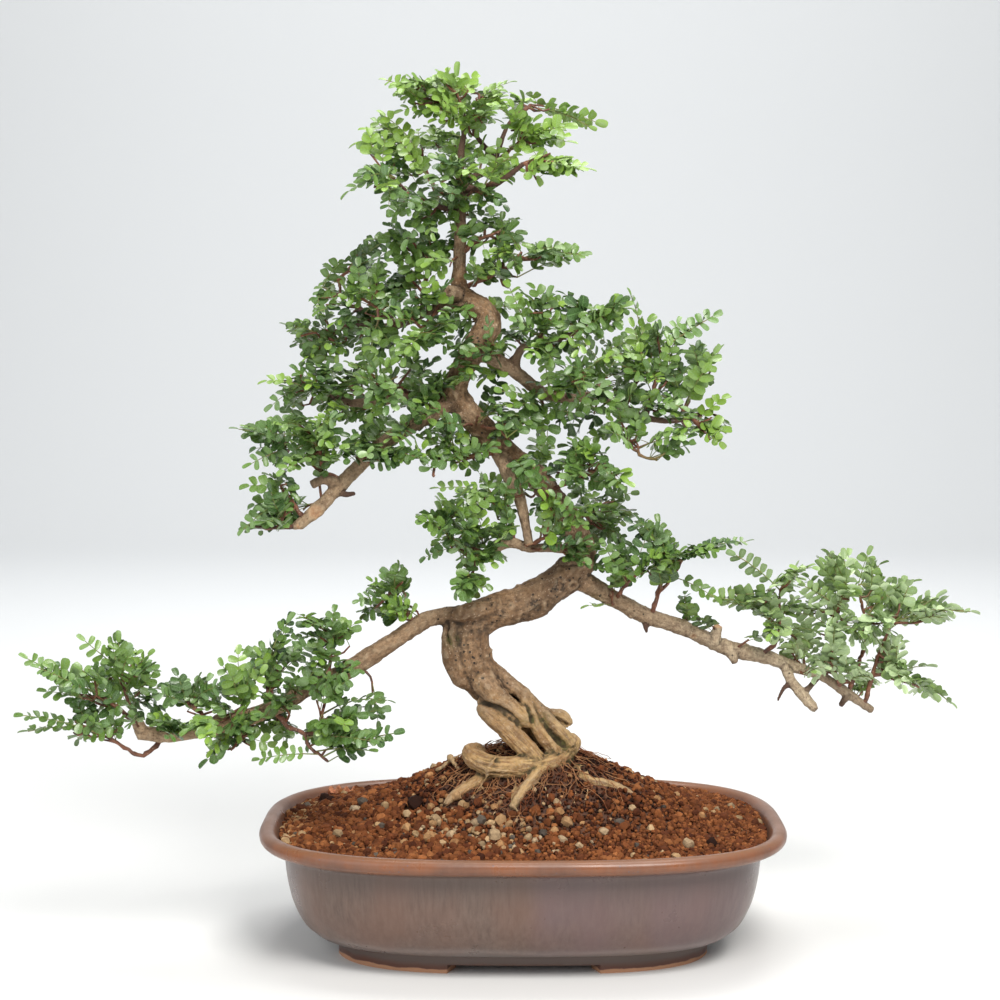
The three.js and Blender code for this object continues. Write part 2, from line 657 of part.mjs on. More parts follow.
// The woody part of a twig: tapering branches that share their first stretch
function twigSolid(branches) {
  const [thick, thin] = TWIG_RADII;
  const tubes = branches.map((branch, order) => {
    const start = order === 0 ? thick : (thick + thin) / 2;
    const radii = branch.map((_, k) => THREE.MathUtils.lerp(start, thin, k / (branch.length - 1)));
    return tubeSolid(branch.map(seen), radii, 3);
  });
  return wasm.Manifold.union(tubes);
}

// Half of a compound leaf's outline: wedge leaflets that widen outwards, cut in to the rib
function halfOutline(length, pairs) {
  const stalk = LEAF_STALK_SHARE * length;
  const pitch = (length - stalk) / (pairs + 1.1);
  const reach = pitch * 0.98;
  const points = [[0, RIB_HALF_WIDTH], [stalk, RIB_HALF_WIDTH]];
  for (let k = 0; k < pairs; k += 1) {
    const root = stalk + k * pitch;
    if (k > 0) points.push([root + pitch * 0.12, reach * 0.8]);
    points.push([root + pitch * 0.82, reach]);
    points.push([root + pitch, RIB_HALF_WIDTH]);
  }
  points.push([length, pitch * 0.4]);
  return points;
}

// One thin arched blade with its leaflets, from base to tip, with its face rolled by a share
function leafSolid(base, tip, roll) {
  const length = base.distanceTo(tip);
  const pairs = length > LONG_LEAF ? 3 : 2;
  const half = halfOutline(length, pairs);
  const mirrored = half.toReversed().map(([x, y]) => [x, -y]);
  const outline = new THREE.Shape([...half, ...mirrored].map(([x, y]) => new THREE.Vector2(x, y)));
  const blade = new THREE.ExtrudeGeometry(outline, { depth: BLADE_THICKNESS, bevelEnabled: false });
  blade.translate(0, 0, -BLADE_THICKNESS / 2);
  const place = blade.attributes.position;
  for (let i = 0; i < place.count; i += 1) {
    const share = place.getX(i) / length;
    place.setZ(i, place.getZ(i) + 4 * LEAF_ARCH * length * share * (1 - share));
  }
  const along = tip.clone().sub(base).normalize();
  const front = new THREE.Vector3(0, base.y < 30 ? -1 : 1, 0);
  const face = new THREE.Vector3(0, 0, Math.cos(roll)).addScaledVector(front, Math.sin(roll));
  face.addScaledVector(along, -face.dot(along)).normalize();
  const turn = new THREE.Matrix4().makeBasis(along, face.clone().cross(along), face).setPosition(base);
  return solidOf(blade.applyMatrix4(turn));
}

// Whether two solids come nearer than the clearance
function tooNear(one, other) {
  const [a, b] = [one.boundingBox(), other.boundingBox()];
  const apart = [0, 1, 2].some((k) => a.min[k] > b.max[k] + CLEARANCE || b.min[k] > a.max[k] + CLEARANCE);
  return !apart && one.minGap(other, 2 * CLEARANCE) < CLEARANCE;
}

// The leafy twigs, each cut clear of the wood, with the leaves that clear their neighbours
function leafyTwigs(wideWood, others) {
  const names = Object.keys(TWIGS);
  const stems = names.map((name) => largestBody(twigSolid(TWIGS[name].wood).subtract(wideWood)));
  const twigs = [...stems];
  names.forEach((name, order) => {
    const random = makeRandom(order + 1);
    const curves = TWIGS[name].wood.map((branch) => new THREE.CatmullRomCurve3(branch.map(seen)));
    for (const [branch, share, ...tip] of TWIGS[name].leaves) {
      const roll = THREE.MathUtils.lerp(0.25, 1.35, random());
      const leaf = leafSolid(curves[branch].getPoint(share), seen(tip), roll);
      const neighbours = [...twigs.filter((_, k) => k !== order), ...others];
      if (neighbours.some((neighbour) => tooNear(leaf, neighbour))) continue;
      twigs[order] = twigs[order].add(leaf);
    }
    twigs[order] = largestBody(twigs[order].subtract(wideWood));
  });
  return names.map((name, order) => (
    meshOf(`twig_${name}`, twigs[order], COLOURS.leaves[order % COLOURS.leaves.length], 0.5)
  ));
}

const wideWood = woodSolid(CLEARANCE);
const pot = potSolid();
const soil = soilSolid(wideWood);
const bonsai = new THREE.Group();
bonsai.add(
  meshOf('pot', pot, COLOURS.glaze, 0.45),
  meshOf('drain_screen_left', screenSolid(-1), COLOURS.screen, 0.6),
  meshOf('drain_screen_right', screenSolid(1), COLOURS.screen, 0.6),
  meshOf('soil', soil, COLOURS.soil, 0.95),
  meshOf('wood', woodSolid(), COLOURS.bark, 0.85),
  ...leafyTwigs(wideWood, [pot, soil]),
);

export default bonsai;
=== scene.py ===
"""Dresses the chinese pepper bonsai: glazed pot, soil grains, barked wood and compound leaves.

Sizes are in millimetres, and meshes are written in metres. A reading is a place as it shows from the front:
across and height on the plane y = 0, and then the depth.
"""

import logging
import math
from collections.abc import Iterable, Iterator
from contextlib import contextmanager
from dataclasses import dataclass, field
from enum import Enum
from functools import reduce

import bpy
import numpy as np
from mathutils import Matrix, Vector, noise
from mathutils.kdtree import KDTree


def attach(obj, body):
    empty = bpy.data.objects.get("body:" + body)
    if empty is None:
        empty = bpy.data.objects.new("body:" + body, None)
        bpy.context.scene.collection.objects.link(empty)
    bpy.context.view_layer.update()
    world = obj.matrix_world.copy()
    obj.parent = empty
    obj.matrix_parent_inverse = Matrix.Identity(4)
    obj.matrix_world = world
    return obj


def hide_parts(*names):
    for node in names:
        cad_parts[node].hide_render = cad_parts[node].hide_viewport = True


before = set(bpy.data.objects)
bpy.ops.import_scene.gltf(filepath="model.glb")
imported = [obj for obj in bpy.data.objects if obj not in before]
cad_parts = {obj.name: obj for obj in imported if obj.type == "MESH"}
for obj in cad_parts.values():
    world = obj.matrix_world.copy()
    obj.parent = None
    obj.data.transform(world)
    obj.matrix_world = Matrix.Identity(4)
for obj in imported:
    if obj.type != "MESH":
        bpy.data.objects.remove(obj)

logging.basicConfig(level=logging.INFO, format="%(message)s")
log = logging.getLogger("bonsai")

Array = np.ndarray
Chances = np.random.Generator
Reading = tuple[float, float, float]
Rgb = tuple[float, float, float]
Thing = bpy.types.Object
Material = bpy.types.Material
Node = bpy.types.Node
Socket = bpy.types.NodeSocket

MM = 0.001
EYE = np.array([-16.6, -1500.0, 435.0])
EYE_DIP = 4.157


def seen(point: Reading) -> Array:
    """Pushes a reading back along its line of sight.

    Args:
        point: the reading.

    Returns:
        Its place.
    """
    across, height, depth = point
    spread = 1.0 - depth / EYE[1]
    return np.array([EYE[0] + (across - EYE[0]) * spread, depth, EYE[2] + (height - EYE[2]) * spread])


def seen_all(points: Iterable[Reading]) -> Array:
    """Gives the places of several readings, one a row."""
    return np.array([seen(point) for point in points])


def in_outline(place: Array) -> bool:
    """Tells whether a place shows inside the foliage's outlines.

    Args:
        place: the place, looked at from the eye.

    Returns:
        True where the lines to its left are odd in number.
    """
    front = EYE + (place - EYE) * EYE[1] / (EYE[1] - place[1])
    across, height = front[0], front[2]
    crossings = 0
    for outline in OUTLINES:
        here, there = outline, np.roll(outline, -1, axis=0)
        rows = np.flatnonzero((here[:, 1] > height) != (there[:, 1] > height))
        share = (height - here[rows, 1]) / (there[rows, 1] - here[rows, 1])
        crossings += int(np.sum(across < here[rows, 0] + share * (there[rows, 0] - here[rows, 0])))
    return crossings % 2 == 1


def smooth_path(points: Array, values: Array, step: float) -> tuple[Array, Array]:
    """Draws a smooth path through points.

    Args:
        points: the points, one a row.
        values: a value at each point, such as a radius.
        step: the wanted distance between the new points.

    Returns:
        The new points and their values.
    """
    if len(points) == 2:
        count = max(2, round(float(np.linalg.norm(points[1] - points[0])) / step) + 1)
        share = np.linspace(0.0, 1.0, count)[:, None]
        return points[0] + (points[1] - points[0]) * share, np.linspace(values[0], values[1], count)
    ends = np.vstack([2 * points[0] - points[1], points, 2 * points[-1] - points[-2]])
    places, sizes = [], []
    for k in range(len(points) - 1):
        before, here, there, after = ends[k : k + 4]
        count = max(1, round(float(np.linalg.norm(there - here)) / step))
        for share in np.arange(count) / count:
            line = 2 * here + (there - before) * share
            curve = (2 * before - 5 * here + 4 * there - after) * (share * share)
            twist = (3 * here - before - 3 * there + after) * share**3
            places.append(0.5 * (line + curve + twist))
            sizes.append(values[k] + (values[k + 1] - values[k]) * share)
    return np.array([*places, points[-1]]), np.array([*sizes, values[-1]])


def smooth(points: Array, step: float) -> Array:
    """Draws a smooth path through points that carry no value."""
    return smooth_path(points, np.zeros(len(points)), step)[0]


def cloudy(places: Array) -> Array:
    """Reads smooth noise from -1 to 1 at each place."""
    return np.array([noise.noise(Vector(place)) for place in places])


def ease(values: Array, low: float = 0.0, high: float = 1.0) -> Array:
    """Holds values between two limits."""
    return np.clip(values, low, high)


def distances(corners: Array, place: Array) -> Array:
    """Gives each corner's distance to a place."""
    return np.linalg.norm(corners - place, axis=1)


def spun(chances: Chances) -> Array:
    """Draws an even random turn as a 3 by 3 matrix."""
    matrix, _ = np.linalg.qr(chances.normal(size=(3, 3)))
    return matrix * np.sign(np.linalg.det(matrix))


def only(*things: Thing) -> None:
    """Selects objects and nothing else, and makes the first one active.

    Args:
        *things: the objects.
    """
    bpy.ops.object.select_all(action="DESELECT")
    for thing in things:
        thing.select_set(True)
    if things:
        bpy.context.view_layer.objects.active = things[0]


@contextmanager
def editing(thing: Thing, select: str = "SELECT", mode: str = "VERT") -> Iterator[None]:
    """Opens edit mode on one object, and closes it afterwards.

    Args:
        thing: the object.
        select: SELECT or DESELECT for all of its mesh, or nothing to leave the selection.
        mode: what is selected, as in mesh.select_mode.
    """
    only(thing)
    bpy.ops.object.mode_set(mode="EDIT")
    bpy.ops.mesh.select_mode(type=mode)
    if select:
        bpy.ops.mesh.select_all(action=select)
    yield
    bpy.ops.object.mode_set(mode="OBJECT")


def deselect(thing: Thing) -> None:
    """Leaves nothing of an object's mesh selected."""
    with editing(thing, "DESELECT"):
        pass


def corners_of(thing: Thing) -> Array:
    """Reads an object's corners.

    Args:
        thing: the object.

    Returns:
        The corners, one a row.
    """
    corners = np.empty(len(thing.data.vertices) * 3)
    thing.data.vertices.foreach_get("co", corners)
    return corners.reshape(-1, 3)


def move_corners(thing: Thing, corners: Array) -> None:
    """Writes an object's corners from an array, one a row."""
    thing.data.vertices.foreach_set("co", np.ascontiguousarray(corners, float).ravel())
    thing.data.update()


def normals_of(thing: Thing) -> Array:
    """Reads the directions in which an object's corners face.

    Args:
        thing: the object.

    Returns:
        The directions, one a row.
    """
    normals = np.empty(len(thing.data.vertices) * 3)
    thing.data.vertex_normals.foreach_get("vector", normals)
    return normals.reshape(-1, 3)


def add_modifier(thing: Thing, kind: str, **settings: object) -> None:
    """Gives an object a modifier, and applies it.

    Args:
        thing: the object.
        kind: the modifier's type.
        **settings: its settings.
    """
    modifier = thing.modifiers.new(kind.lower(), kind)
    for key, value in settings.items():
        setattr(modifier, key, value)
    only(thing)
    bpy.ops.object.modifier_apply(modifier=modifier.name)


def smooth_shading(thing: Thing, degrees: float) -> None:
    """Shades an object smooth, apart from edges sharper than an angle."""
    only(thing)
    bpy.ops.object.shade_smooth_by_angle(angle=math.radians(degrees))


def keep(thing: Thing, name: str, kind: str, values: Array) -> None:
    """Keeps numbers at each corner of an object, for its materials to read.

    Args:
        thing: the object.
        name: the attribute's name.
        kind: COLOR for four numbers a corner, or VECTOR for three.
        values: the numbers, one row a corner.
    """
    attribute = thing.data.attributes.new(name, f"FLOAT_{kind}", "POINT")
    attribute.data.foreach_set(kind.lower(), np.ascontiguousarray(values, float).ravel())


def settle(thing: Thing, sharp: float, slot: str, nodes: list[str], *materials: Material) -> None:
    """Hands a finished piece over: its shading, its materials, what carries it and what it stands for.

    Args:
        thing: the finished piece.
        sharp: the angle in degrees past which an edge stays sharp.
        slot: not used.
        nodes: the nodes of the solid model that the piece replaces.
        materials: its materials, in the order of its faces' indices.
    """
    smooth_shading(thing, sharp)
    indices = np.zeros(len(thing.data.polygons), dtype=np.int32)
    thing.data.polygons.foreach_get("material_index", indices)
    thing.data.materials.clear()
    for material in materials:
        thing.data.materials.append(material)
    thing.data.polygons.foreach_set("material_index", indices)
    thing.data.name = thing.name
    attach(thing, "root")
    if nodes:
        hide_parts(*nodes)
    log.info("%s: %d triangles", thing.name, sum(len(face.vertices) - 2 for face in thing.data.polygons))


@dataclass
class Rod:
    """A tapering round stretch through points."""

    points: Array
    radii: Array


def model_rods(name: str, rods: list[Rod], roundness: int) -> Thing:
    """Models closed round rods along their paths, as one mesh.

    Args:
        name: the object's name.
        rods: the rods.
        roundness: Blender's bevel resolution, which gives 4 sides at 0 and 2 more a step.

    Returns:
        The mesh object.
    """
    only()
    bpy.ops.curve.primitive_bezier_curve_add(radius=MM)
    thing = bpy.context.object
    curve = thing.data
    curve.splines.clear()
    curve.dimensions = "3D"
    curve.bevel_depth = MM
    curve.bevel_resolution = roundness
    curve.use_fill_caps = True
    for rod in rods:
        spline = curve.splines.new("POLY")
        spline.points.add(len(rod.points) - 1)
        spline.points.foreach_set("co", np.hstack([rod.points * MM, np.ones((len(rod.points), 1))]).ravel())
        spline.points.foreach_set("radius", np.ascontiguousarray(rod.radii, float))
    only(thing)
    bpy.ops.object.convert(target="MESH")
    thing = bpy.context.object
    with editing(thing):
        bpy.ops.mesh.remove_doubles(threshold=1e-7)
        bpy.ops.mesh.normals_make_consistent(inside=False)
    thing.name = name
    return thing


@dataclass
class Shape:
    """The corners, triangles and looks of a shape that is modelled once and copied."""

    corners: Array
    faces: Array
    looks: Array
    kinds: Array

    @classmethod
    def taken_from(cls, thing: Thing, kind: int = 0) -> "Shape":
        """Reads a modelled object as triangles, and removes the object.

        Args:
            thing: the object.
            kind: the material index of its faces.

        Returns:
            The shape.
        """
        with editing(thing):
            bpy.ops.mesh.quads_convert_to_tris()
        corners = corners_of(thing)
        faces = np.array([tuple(face.vertices) for face in thing.data.polygons], dtype=np.int64)
        bpy.data.objects.remove(thing)
        return cls(corners, faces, np.zeros((len(corners), 4)), np.full(len(faces), kind, dtype=np.int32))


@dataclass
class Gathering:
    """Copies of shapes, gathered into one mesh of their own."""

    parts: list[tuple[Array, ...]] = field(default_factory=list)
    count: int = 0

    def add(self, corners: Array, faces: Array, looks: Array, kinds: Array) -> None:
        """Adds one copy, with its corners already in place in millimetres."""
        self.parts.append((corners, faces + self.count, looks, kinds))
        self.count += len(corners)

    def as_shape(self) -> Shape:
        """Joins what is gathered into one shape."""
        return Shape(*(np.concatenate(part) for part in zip(*self.parts)))

    def as_object(self, name: str, look: str) -> Thing:
        """Makes the gathered copies one object.

        Args:
            name: the object's name.
            look: the name that their looks are kept under.

        Returns:
            The object.
        """
        shape = self.as_shape()
        mesh = bpy.data.meshes.new(name)
        mesh.from_pydata(shape.corners * MM, [], shape.faces)
        mesh.polygons.foreach_set("material_index", shape.kinds)
        thing = bpy.data.objects.new(name, mesh)
        bpy.context.scene.collection.objects.link(thing)
        keep(thing, look, "COLOR", shape.looks)
        return thing


class Board:
    """Places and joins the nodes of one material or node group."""

    def __init__(self, tree: bpy.types.NodeTree) -> None:
        """Takes the node tree to work on."""
        self.tree = tree

    def feed(self, node: Node, key: str | int, value: object) -> None:
        """Sets one of a node's inputs, or joins it.

        Args:
            node: the node.
            key: the input's name or number.
            value: its value, or the output that feeds it.
        """
        if isinstance(value, Socket):
            self.tree.links.new(value, node.inputs[key])
        else:
            node.inputs[key].default_value = value

    def put(self, kind: str, sockets: dict | None = None, **settings: object) -> Node:
        """Places a node.

        Args:
            kind: the node's type.
            sockets: input name or number to a value or to the output that feeds it.
            **settings: the node's own settings.

        Returns:
            The node.
        """
        node = self.tree.nodes.new(kind)
        for key, value in settings.items():
            setattr(node, key, value)
        for key, value in (sockets or {}).items():
            self.feed(node, key, value)
        return node

    def mixed(self, share: object, first: object, second: object, mode: str = "MIX") -> Socket:
        """Mixes two colours, each a socket or three numbers.

        Args:
            share: how much of the second there is.
            first: the first colour.
            second: the second colour.
            mode: how they are blended.

        Returns:
            The mixed colour.
        """
        ends = (end if isinstance(end, Socket) else (*end, 1.0) for end in (first, second))
        sockets = dict(zip((0, 6, 7), (share, *ends)))
        return self.put("ShaderNodeMix", sockets, data_type="RGBA", blend_type=mode).outputs[2]

    def over(self, base: object, tint: object, share: object, *reach: float) -> Socket:
        """Lays a tint over a colour, by a share that is first spread where a reach is given."""
        return self.mixed(self.spread(share, *reach) if reach else share, base, tint)

    def sum(self, kind: str, first: object, second: object = 0.0) -> Socket:
        """Does one sum on values, such as ADD or MULTIPLY, and gives its result."""
        return self.put("ShaderNodeMath", {0: first, 1: second}, operation=kind).outputs[0]

    def times(self, first: object, second: object) -> Socket:
        """Multiplies two values."""
        return self.sum("MULTIPLY", first, second)

    def total(self, *terms: object) -> Socket:
        """Adds values up."""
        return reduce(lambda first, second: self.sum("ADD", first, second), terms)

    def spread(self, value: object, low: object, high: object, start: float = 0.0, end: float = 1.0) -> Socket:
        """Spreads a value's range from low to high over start to end, and holds it there."""
        sockets = {"Value": value, "From Min": low, "From Max": high, "To Min": start, "To Max": end}
        return self.put("ShaderNodeMapRange", sockets).outputs["Result"]

    def noise(self, vector: object, scale: object, detail: float = 3.0, roughness: float = 0.55) -> Socket:
        """Places fractal noise and gives its value."""
        sockets = {"Vector": vector, "Scale": scale, "Detail": detail, "Roughness": roughness}
        return self.put("ShaderNodeTexNoise", sockets).outputs["Fac"]

    def stretched(self, vector: object, scale: Reading) -> Socket:
        """Scales a vector along its three directions."""
        return self.put("ShaderNodeVectorMath", {0: vector, 1: scale}, operation="MULTIPLY").outputs[0]

    def thirds(self, colour: Socket) -> list[Socket]:
        """Takes a colour's three numbers apart."""
        return list(self.put("ShaderNodeSeparateColor", {"Color": colour}).outputs)


class SharedEffects:
    """The node groups that several finishes use."""

    def __init__(self) -> None:
        """Builds each group once."""
        self.flecks = self._flecks()
        self.mottle = self._mottle()
        self.fibres = self._fibres()

    @staticmethod
    def _new(name: str, takes: dict[str, float], *gives: str) -> tuple:
        """Starts a group that takes a vector and numbers, and gives masks.

        Args:
            name: the group's name.
            takes: each number's name and its usual value.
            *gives: the names of the masks.

        Returns:
            Its board, what it is given and the node that it hands its masks to.
        """
        tree = bpy.data.node_groups.new(name, "ShaderNodeTree")
        tree.interface.new_socket(name="Vector", in_out="INPUT", socket_type="NodeSocketVector")
        for key, value in takes.items():
            socket = tree.interface.new_socket(name=key, in_out="INPUT", socket_type="NodeSocketFloat")
            socket.default_value = value
        for key in gives:
            tree.interface.new_socket(name=key, in_out="OUTPUT", socket_type="NodeSocketFloat")
        board = Board(tree)
        return board, board.put("NodeGroupInput").outputs, board.put("NodeGroupOutput")

    def _flecks(self) -> bpy.types.NodeTree:
        """Scattered specks: a mask that is 1 on each speck.

        Returns:
            The group.
        """
        takes = {"Density": 400.0, "Size": 0.2, "Share": 0.4}
        board, given, end = self._new("scattered_flecks", takes, "Mask")
        sockets = {"Vector": given["Vector"], "Scale": given["Density"]}
        cells = board.put("ShaderNodeTexVoronoi", sockets).outputs
        near = board.sum("LESS_THAN", cells["Distance"], given["Size"])
        chosen = board.sum("LESS_THAN", board.thirds(cells["Color"])[0], given["Share"])
        board.feed(end, "Mask", board.times(near, chosen))
        return board.tree

    def _mottle(self) -> bpy.types.NodeTree:
        """Soft cloudy patches between 0 and 1.

        Returns:
            The group.
        """
        board, given, end = self._new("cloudy_mottle", {"Density": 60.0, "Low": 0.38, "High": 0.62}, "Mask")
        cloud = board.noise(given["Vector"], given["Density"], 4.0, 0.6)
        board.feed(end, "Mask", board.spread(cloud, given["Low"], given["High"]))
        return board.tree

    def _fibres(self) -> bpy.types.NodeTree:
        """Grain that runs along a limb: coarse furrows, fine threads and their joint height.

        Returns:
            The group.
        """
        takes = {"Furrows": 260.0, "Threads": 900.0}
        board, given, end = self._new("wood_fibres", takes, "Furrow", "Thread", "Height")
        along = board.stretched(given["Vector"], (1.0, 1.0, 0.16))
        furrow = board.noise(along, given["Furrows"], 3.0, 0.6)
        thread = board.noise(along, given["Threads"], 2.0, 0.5)
        height = board.total(board.times(furrow, 0.7), board.times(thread, 0.3))
        for key, value in (("Furrow", furrow), ("Thread", thread), ("Height", height)):
            board.feed(end, key, value)
        return board.tree


class Skin(Board):
    """The board of one new material, with its shader and its object coordinates."""

    def __init__(self, name: str, effects: SharedEffects) -> None:
        """Starts the material.

        Args:
            name: its name.
            effects: the shared groups.
        """
        self.material = bpy.data.materials.new(name)
        self.material.use_nodes = True
        super().__init__(self.material.node_tree)
        self.effects = effects
        self.shader = self.tree.nodes["Principled BSDF"]
        self.place = self.put("ShaderNodeTexCoord").outputs["Object"]

    def axis(self, name: str) -> Socket:
        """Gives one of the three coordinates."""
        return self.put("ShaderNodeSeparateXYZ", {"Vector": self.place}).outputs[name]

    def looks(self, name: str) -> bpy.types.bpy_prop_collection:
        """Gives what the piece keeps under a name."""
        return self.put("ShaderNodeAttribute", attribute_name=name).outputs

    def grain(self, scale: float, detail: float = 3.0, roughness: float = 0.55, height: float = 1.0) -> Socket:
        """Gives fractal noise over the piece, with its heights scaled where asked."""
        place = self.place if height == 1.0 else self.stretched(self.place, (1.0, 1.0, height))
        return self.noise(place, scale, detail, roughness)

    def mottle(self, density: float, low: float, high: float) -> Socket:
        """Gives cloudy patches over the piece."""
        sockets = {"Vector": self.place, "Density": density, "Low": low, "High": high}
        return self.put("ShaderNodeGroup", sockets, node_tree=self.effects.mottle).outputs["Mask"]

    def flecks(self, density: float, size: float, share: float, vector: Socket | None = None) -> Socket:
        """Gives scattered specks over the piece, or along a vector."""
        sockets = {"Vector": vector or self.place, "Density": density, "Size": size, "Share": share}
        return self.put("ShaderNodeGroup", sockets, node_tree=self.effects.flecks).outputs["Mask"]

    def bump(self, height: Socket, strength: float, depth: float) -> None:
        """Gives the shader fine relief of a depth in millimetres."""
        bump = self.put("ShaderNodeBump", {"Height": height, "Strength": strength, "Distance": depth * MM})
        self.feed(self.shader, "Normal", bump.outputs["Normal"])

    def finish(self, colour: Socket, rough: Socket, specular: float = 0.5) -> None:
        """Feeds the shader.

        Args:
            colour: its base colour.
            rough: its roughness.
            specular: its specular level.
        """
        self.feed(self.shader, "Base Color", colour)
        self.feed(self.shader, "Roughness", rough)
        self.shader.inputs["Specular IOR Level"].default_value = specular


@dataclass(frozen=True)
class Finish:
    """What a piece is dressed in. Each kind holds its own colours."""

    name: str = "finish"

    def make(self, effects: SharedEffects) -> Material:
        """Builds the material.

        Args:
            effects: the shared groups.

        Returns:
            The material.
        """
        skin = Skin(self.name, effects)
        self.dress(skin)
        return skin.material

    def dress(self, skin: Skin) -> None:
        """Gives the material its colours and relief. Each kind does this in its own way."""
        raise NotImplementedError


@dataclass(frozen=True)
class GlazeFinish(Finish):
    """Satin stoneware glaze: purplish grey-brown walls, a copper brown lip and raw clay feet."""

    name: str = "satin_brown_glaze"
    wall: Rgb = (0.102, 0.064, 0.049)
    wall_pale: Rgb = (0.15, 0.1, 0.078)
    wall_rust: Rgb = (0.16, 0.082, 0.056)
    wall_violet: Rgb = (0.135, 0.09, 0.105)
    wall_shade_under_lip: Rgb = (0.09, 0.066, 0.06)
    lip: Rgb = (0.225, 0.078, 0.03)
    lip_dark: Rgb = (0.14, 0.06, 0.035)
    lip_spot: Rgb = (0.1, 0.085, 0.115)
    lip_streak: Rgb = (0.19, 0.1, 0.065)
    lip_wear_and_highlight: Rgb = (0.27, 0.14, 0.08)
    inside: Rgb = (0.15, 0.095, 0.075)
    base: Rgb = (0.11, 0.077, 0.065)
    base_highlight_line: Rgb = (0.3, 0.24, 0.22)
    foot: Rgb = (0.12, 0.042, 0.024)
    clay: Rgb = (0.5, 0.26, 0.15)
    oval: tuple[float, float] = (0.1805, 0.1305)

    def dress(self, skin: Skin) -> None:
        """Builds the material: the wall, the lip and its inside, and the foot's bands.

        Args:
            skin: the board of its material.
        """
        level = skin.axis("Z")
        height = skin.total(level, skin.spread(skin.grain(18.0), 0.3, 0.7, -0.0022, 0.0022))
        streaks = skin.grain(330.0, 5.0, 0.68, 0.045)
        wall = skin.over(self.wall, self.wall_pale, streaks, 0.36, 0.64)
        wall = skin.over(wall, self.wall_rust, skin.grain(26.0, 3.0, 0.5, 0.25), 0.42, 0.62, 0.0, 0.5)
        wall = skin.over(wall, self.wall_violet, skin.grain(11.0, 2.0, 0.5, 0.5), 0.46, 0.6, 0.0, 0.45)
        # Painted shade: the wall darkens towards its top, just under the overhanging lip.
        wall = skin.over(wall, self.wall_shade_under_lip, height, 0.056, 0.078, 0.0, 0.45)
        cloud = skin.mottle(34.0, 0.36, 0.66)
        lip = skin.over(self.lip, self.lip_dark, cloud)
        lip = skin.over(lip, self.lip_spot, skin.times(skin.flecks(330.0, 0.2, 0.1), 0.75))
        lip = skin.over(lip, self.lip_streak, streaks, 0.4, 0.62, 0.0, 0.35)
        # The lip's top edge is lighter: partly worn copper, partly a painted highlight where the light falls on
        # the rim.
        lip = skin.over(lip, self.lip_wear_and_highlight, level, 0.0895, 0.0925, 0.0, 0.4)
        colour = skin.over(wall, lip, height, 0.0795, 0.0835)
        inward = skin.times(self._inside(skin), skin.spread(height, 0.0955, 0.0895))
        inward = skin.times(inward, skin.spread(level, 0.0795, 0.0815))
        colour = skin.over(colour, self.inside, inward)
        colour = skin.over(colour, self.base, height, 0.0205, 0.0165)
        # Painted highlight: a faint pale line on the curve just above the foot band.
        line = skin.times(skin.spread(height, 0.0185, 0.0205), skin.spread(height, 0.0245, 0.0215))
        colour = skin.over(colour, self.base_highlight_line, skin.times(line, 0.2))
        low = skin.total(level, skin.spread(skin.grain(60.0), 0.3, 0.7, -0.0008, 0.0008))
        colour = skin.over(colour, self.foot, low, 0.008, 0.0045, 0.0, 0.8)
        colour = skin.over(colour, self.clay, low, 0.0031, 0.0024)
        glossy, raw = skin.spread(cloud, 0.0, 1.0, 0.27, 0.42), skin.spread(low, 0.0031, 0.0024, 0.0, 0.8)
        skin.bump(skin.total(skin.grain(900.0, 3.0, 0.6), skin.times(streaks, 0.5)), 0.3, 0.2)
        skin.finish(colour, skin.sum("MAXIMUM", glossy, raw))

    def _inside(self, skin: Skin) -> Socket:
        """Finds what lies inside the lip, from the oval's own formula.

        Args:
            skin: the board of the material.

        Returns:
            A mask.
        """
        terms = []
        for name, half in zip("XY", self.oval):
            share = skin.sum("ABSOLUTE", skin.sum("DIVIDE", skin.axis(name), half))
            terms.append(skin.sum("POWER", share, 3.0))
        return skin.spread(skin.total(*terms), 1.0, 0.9)


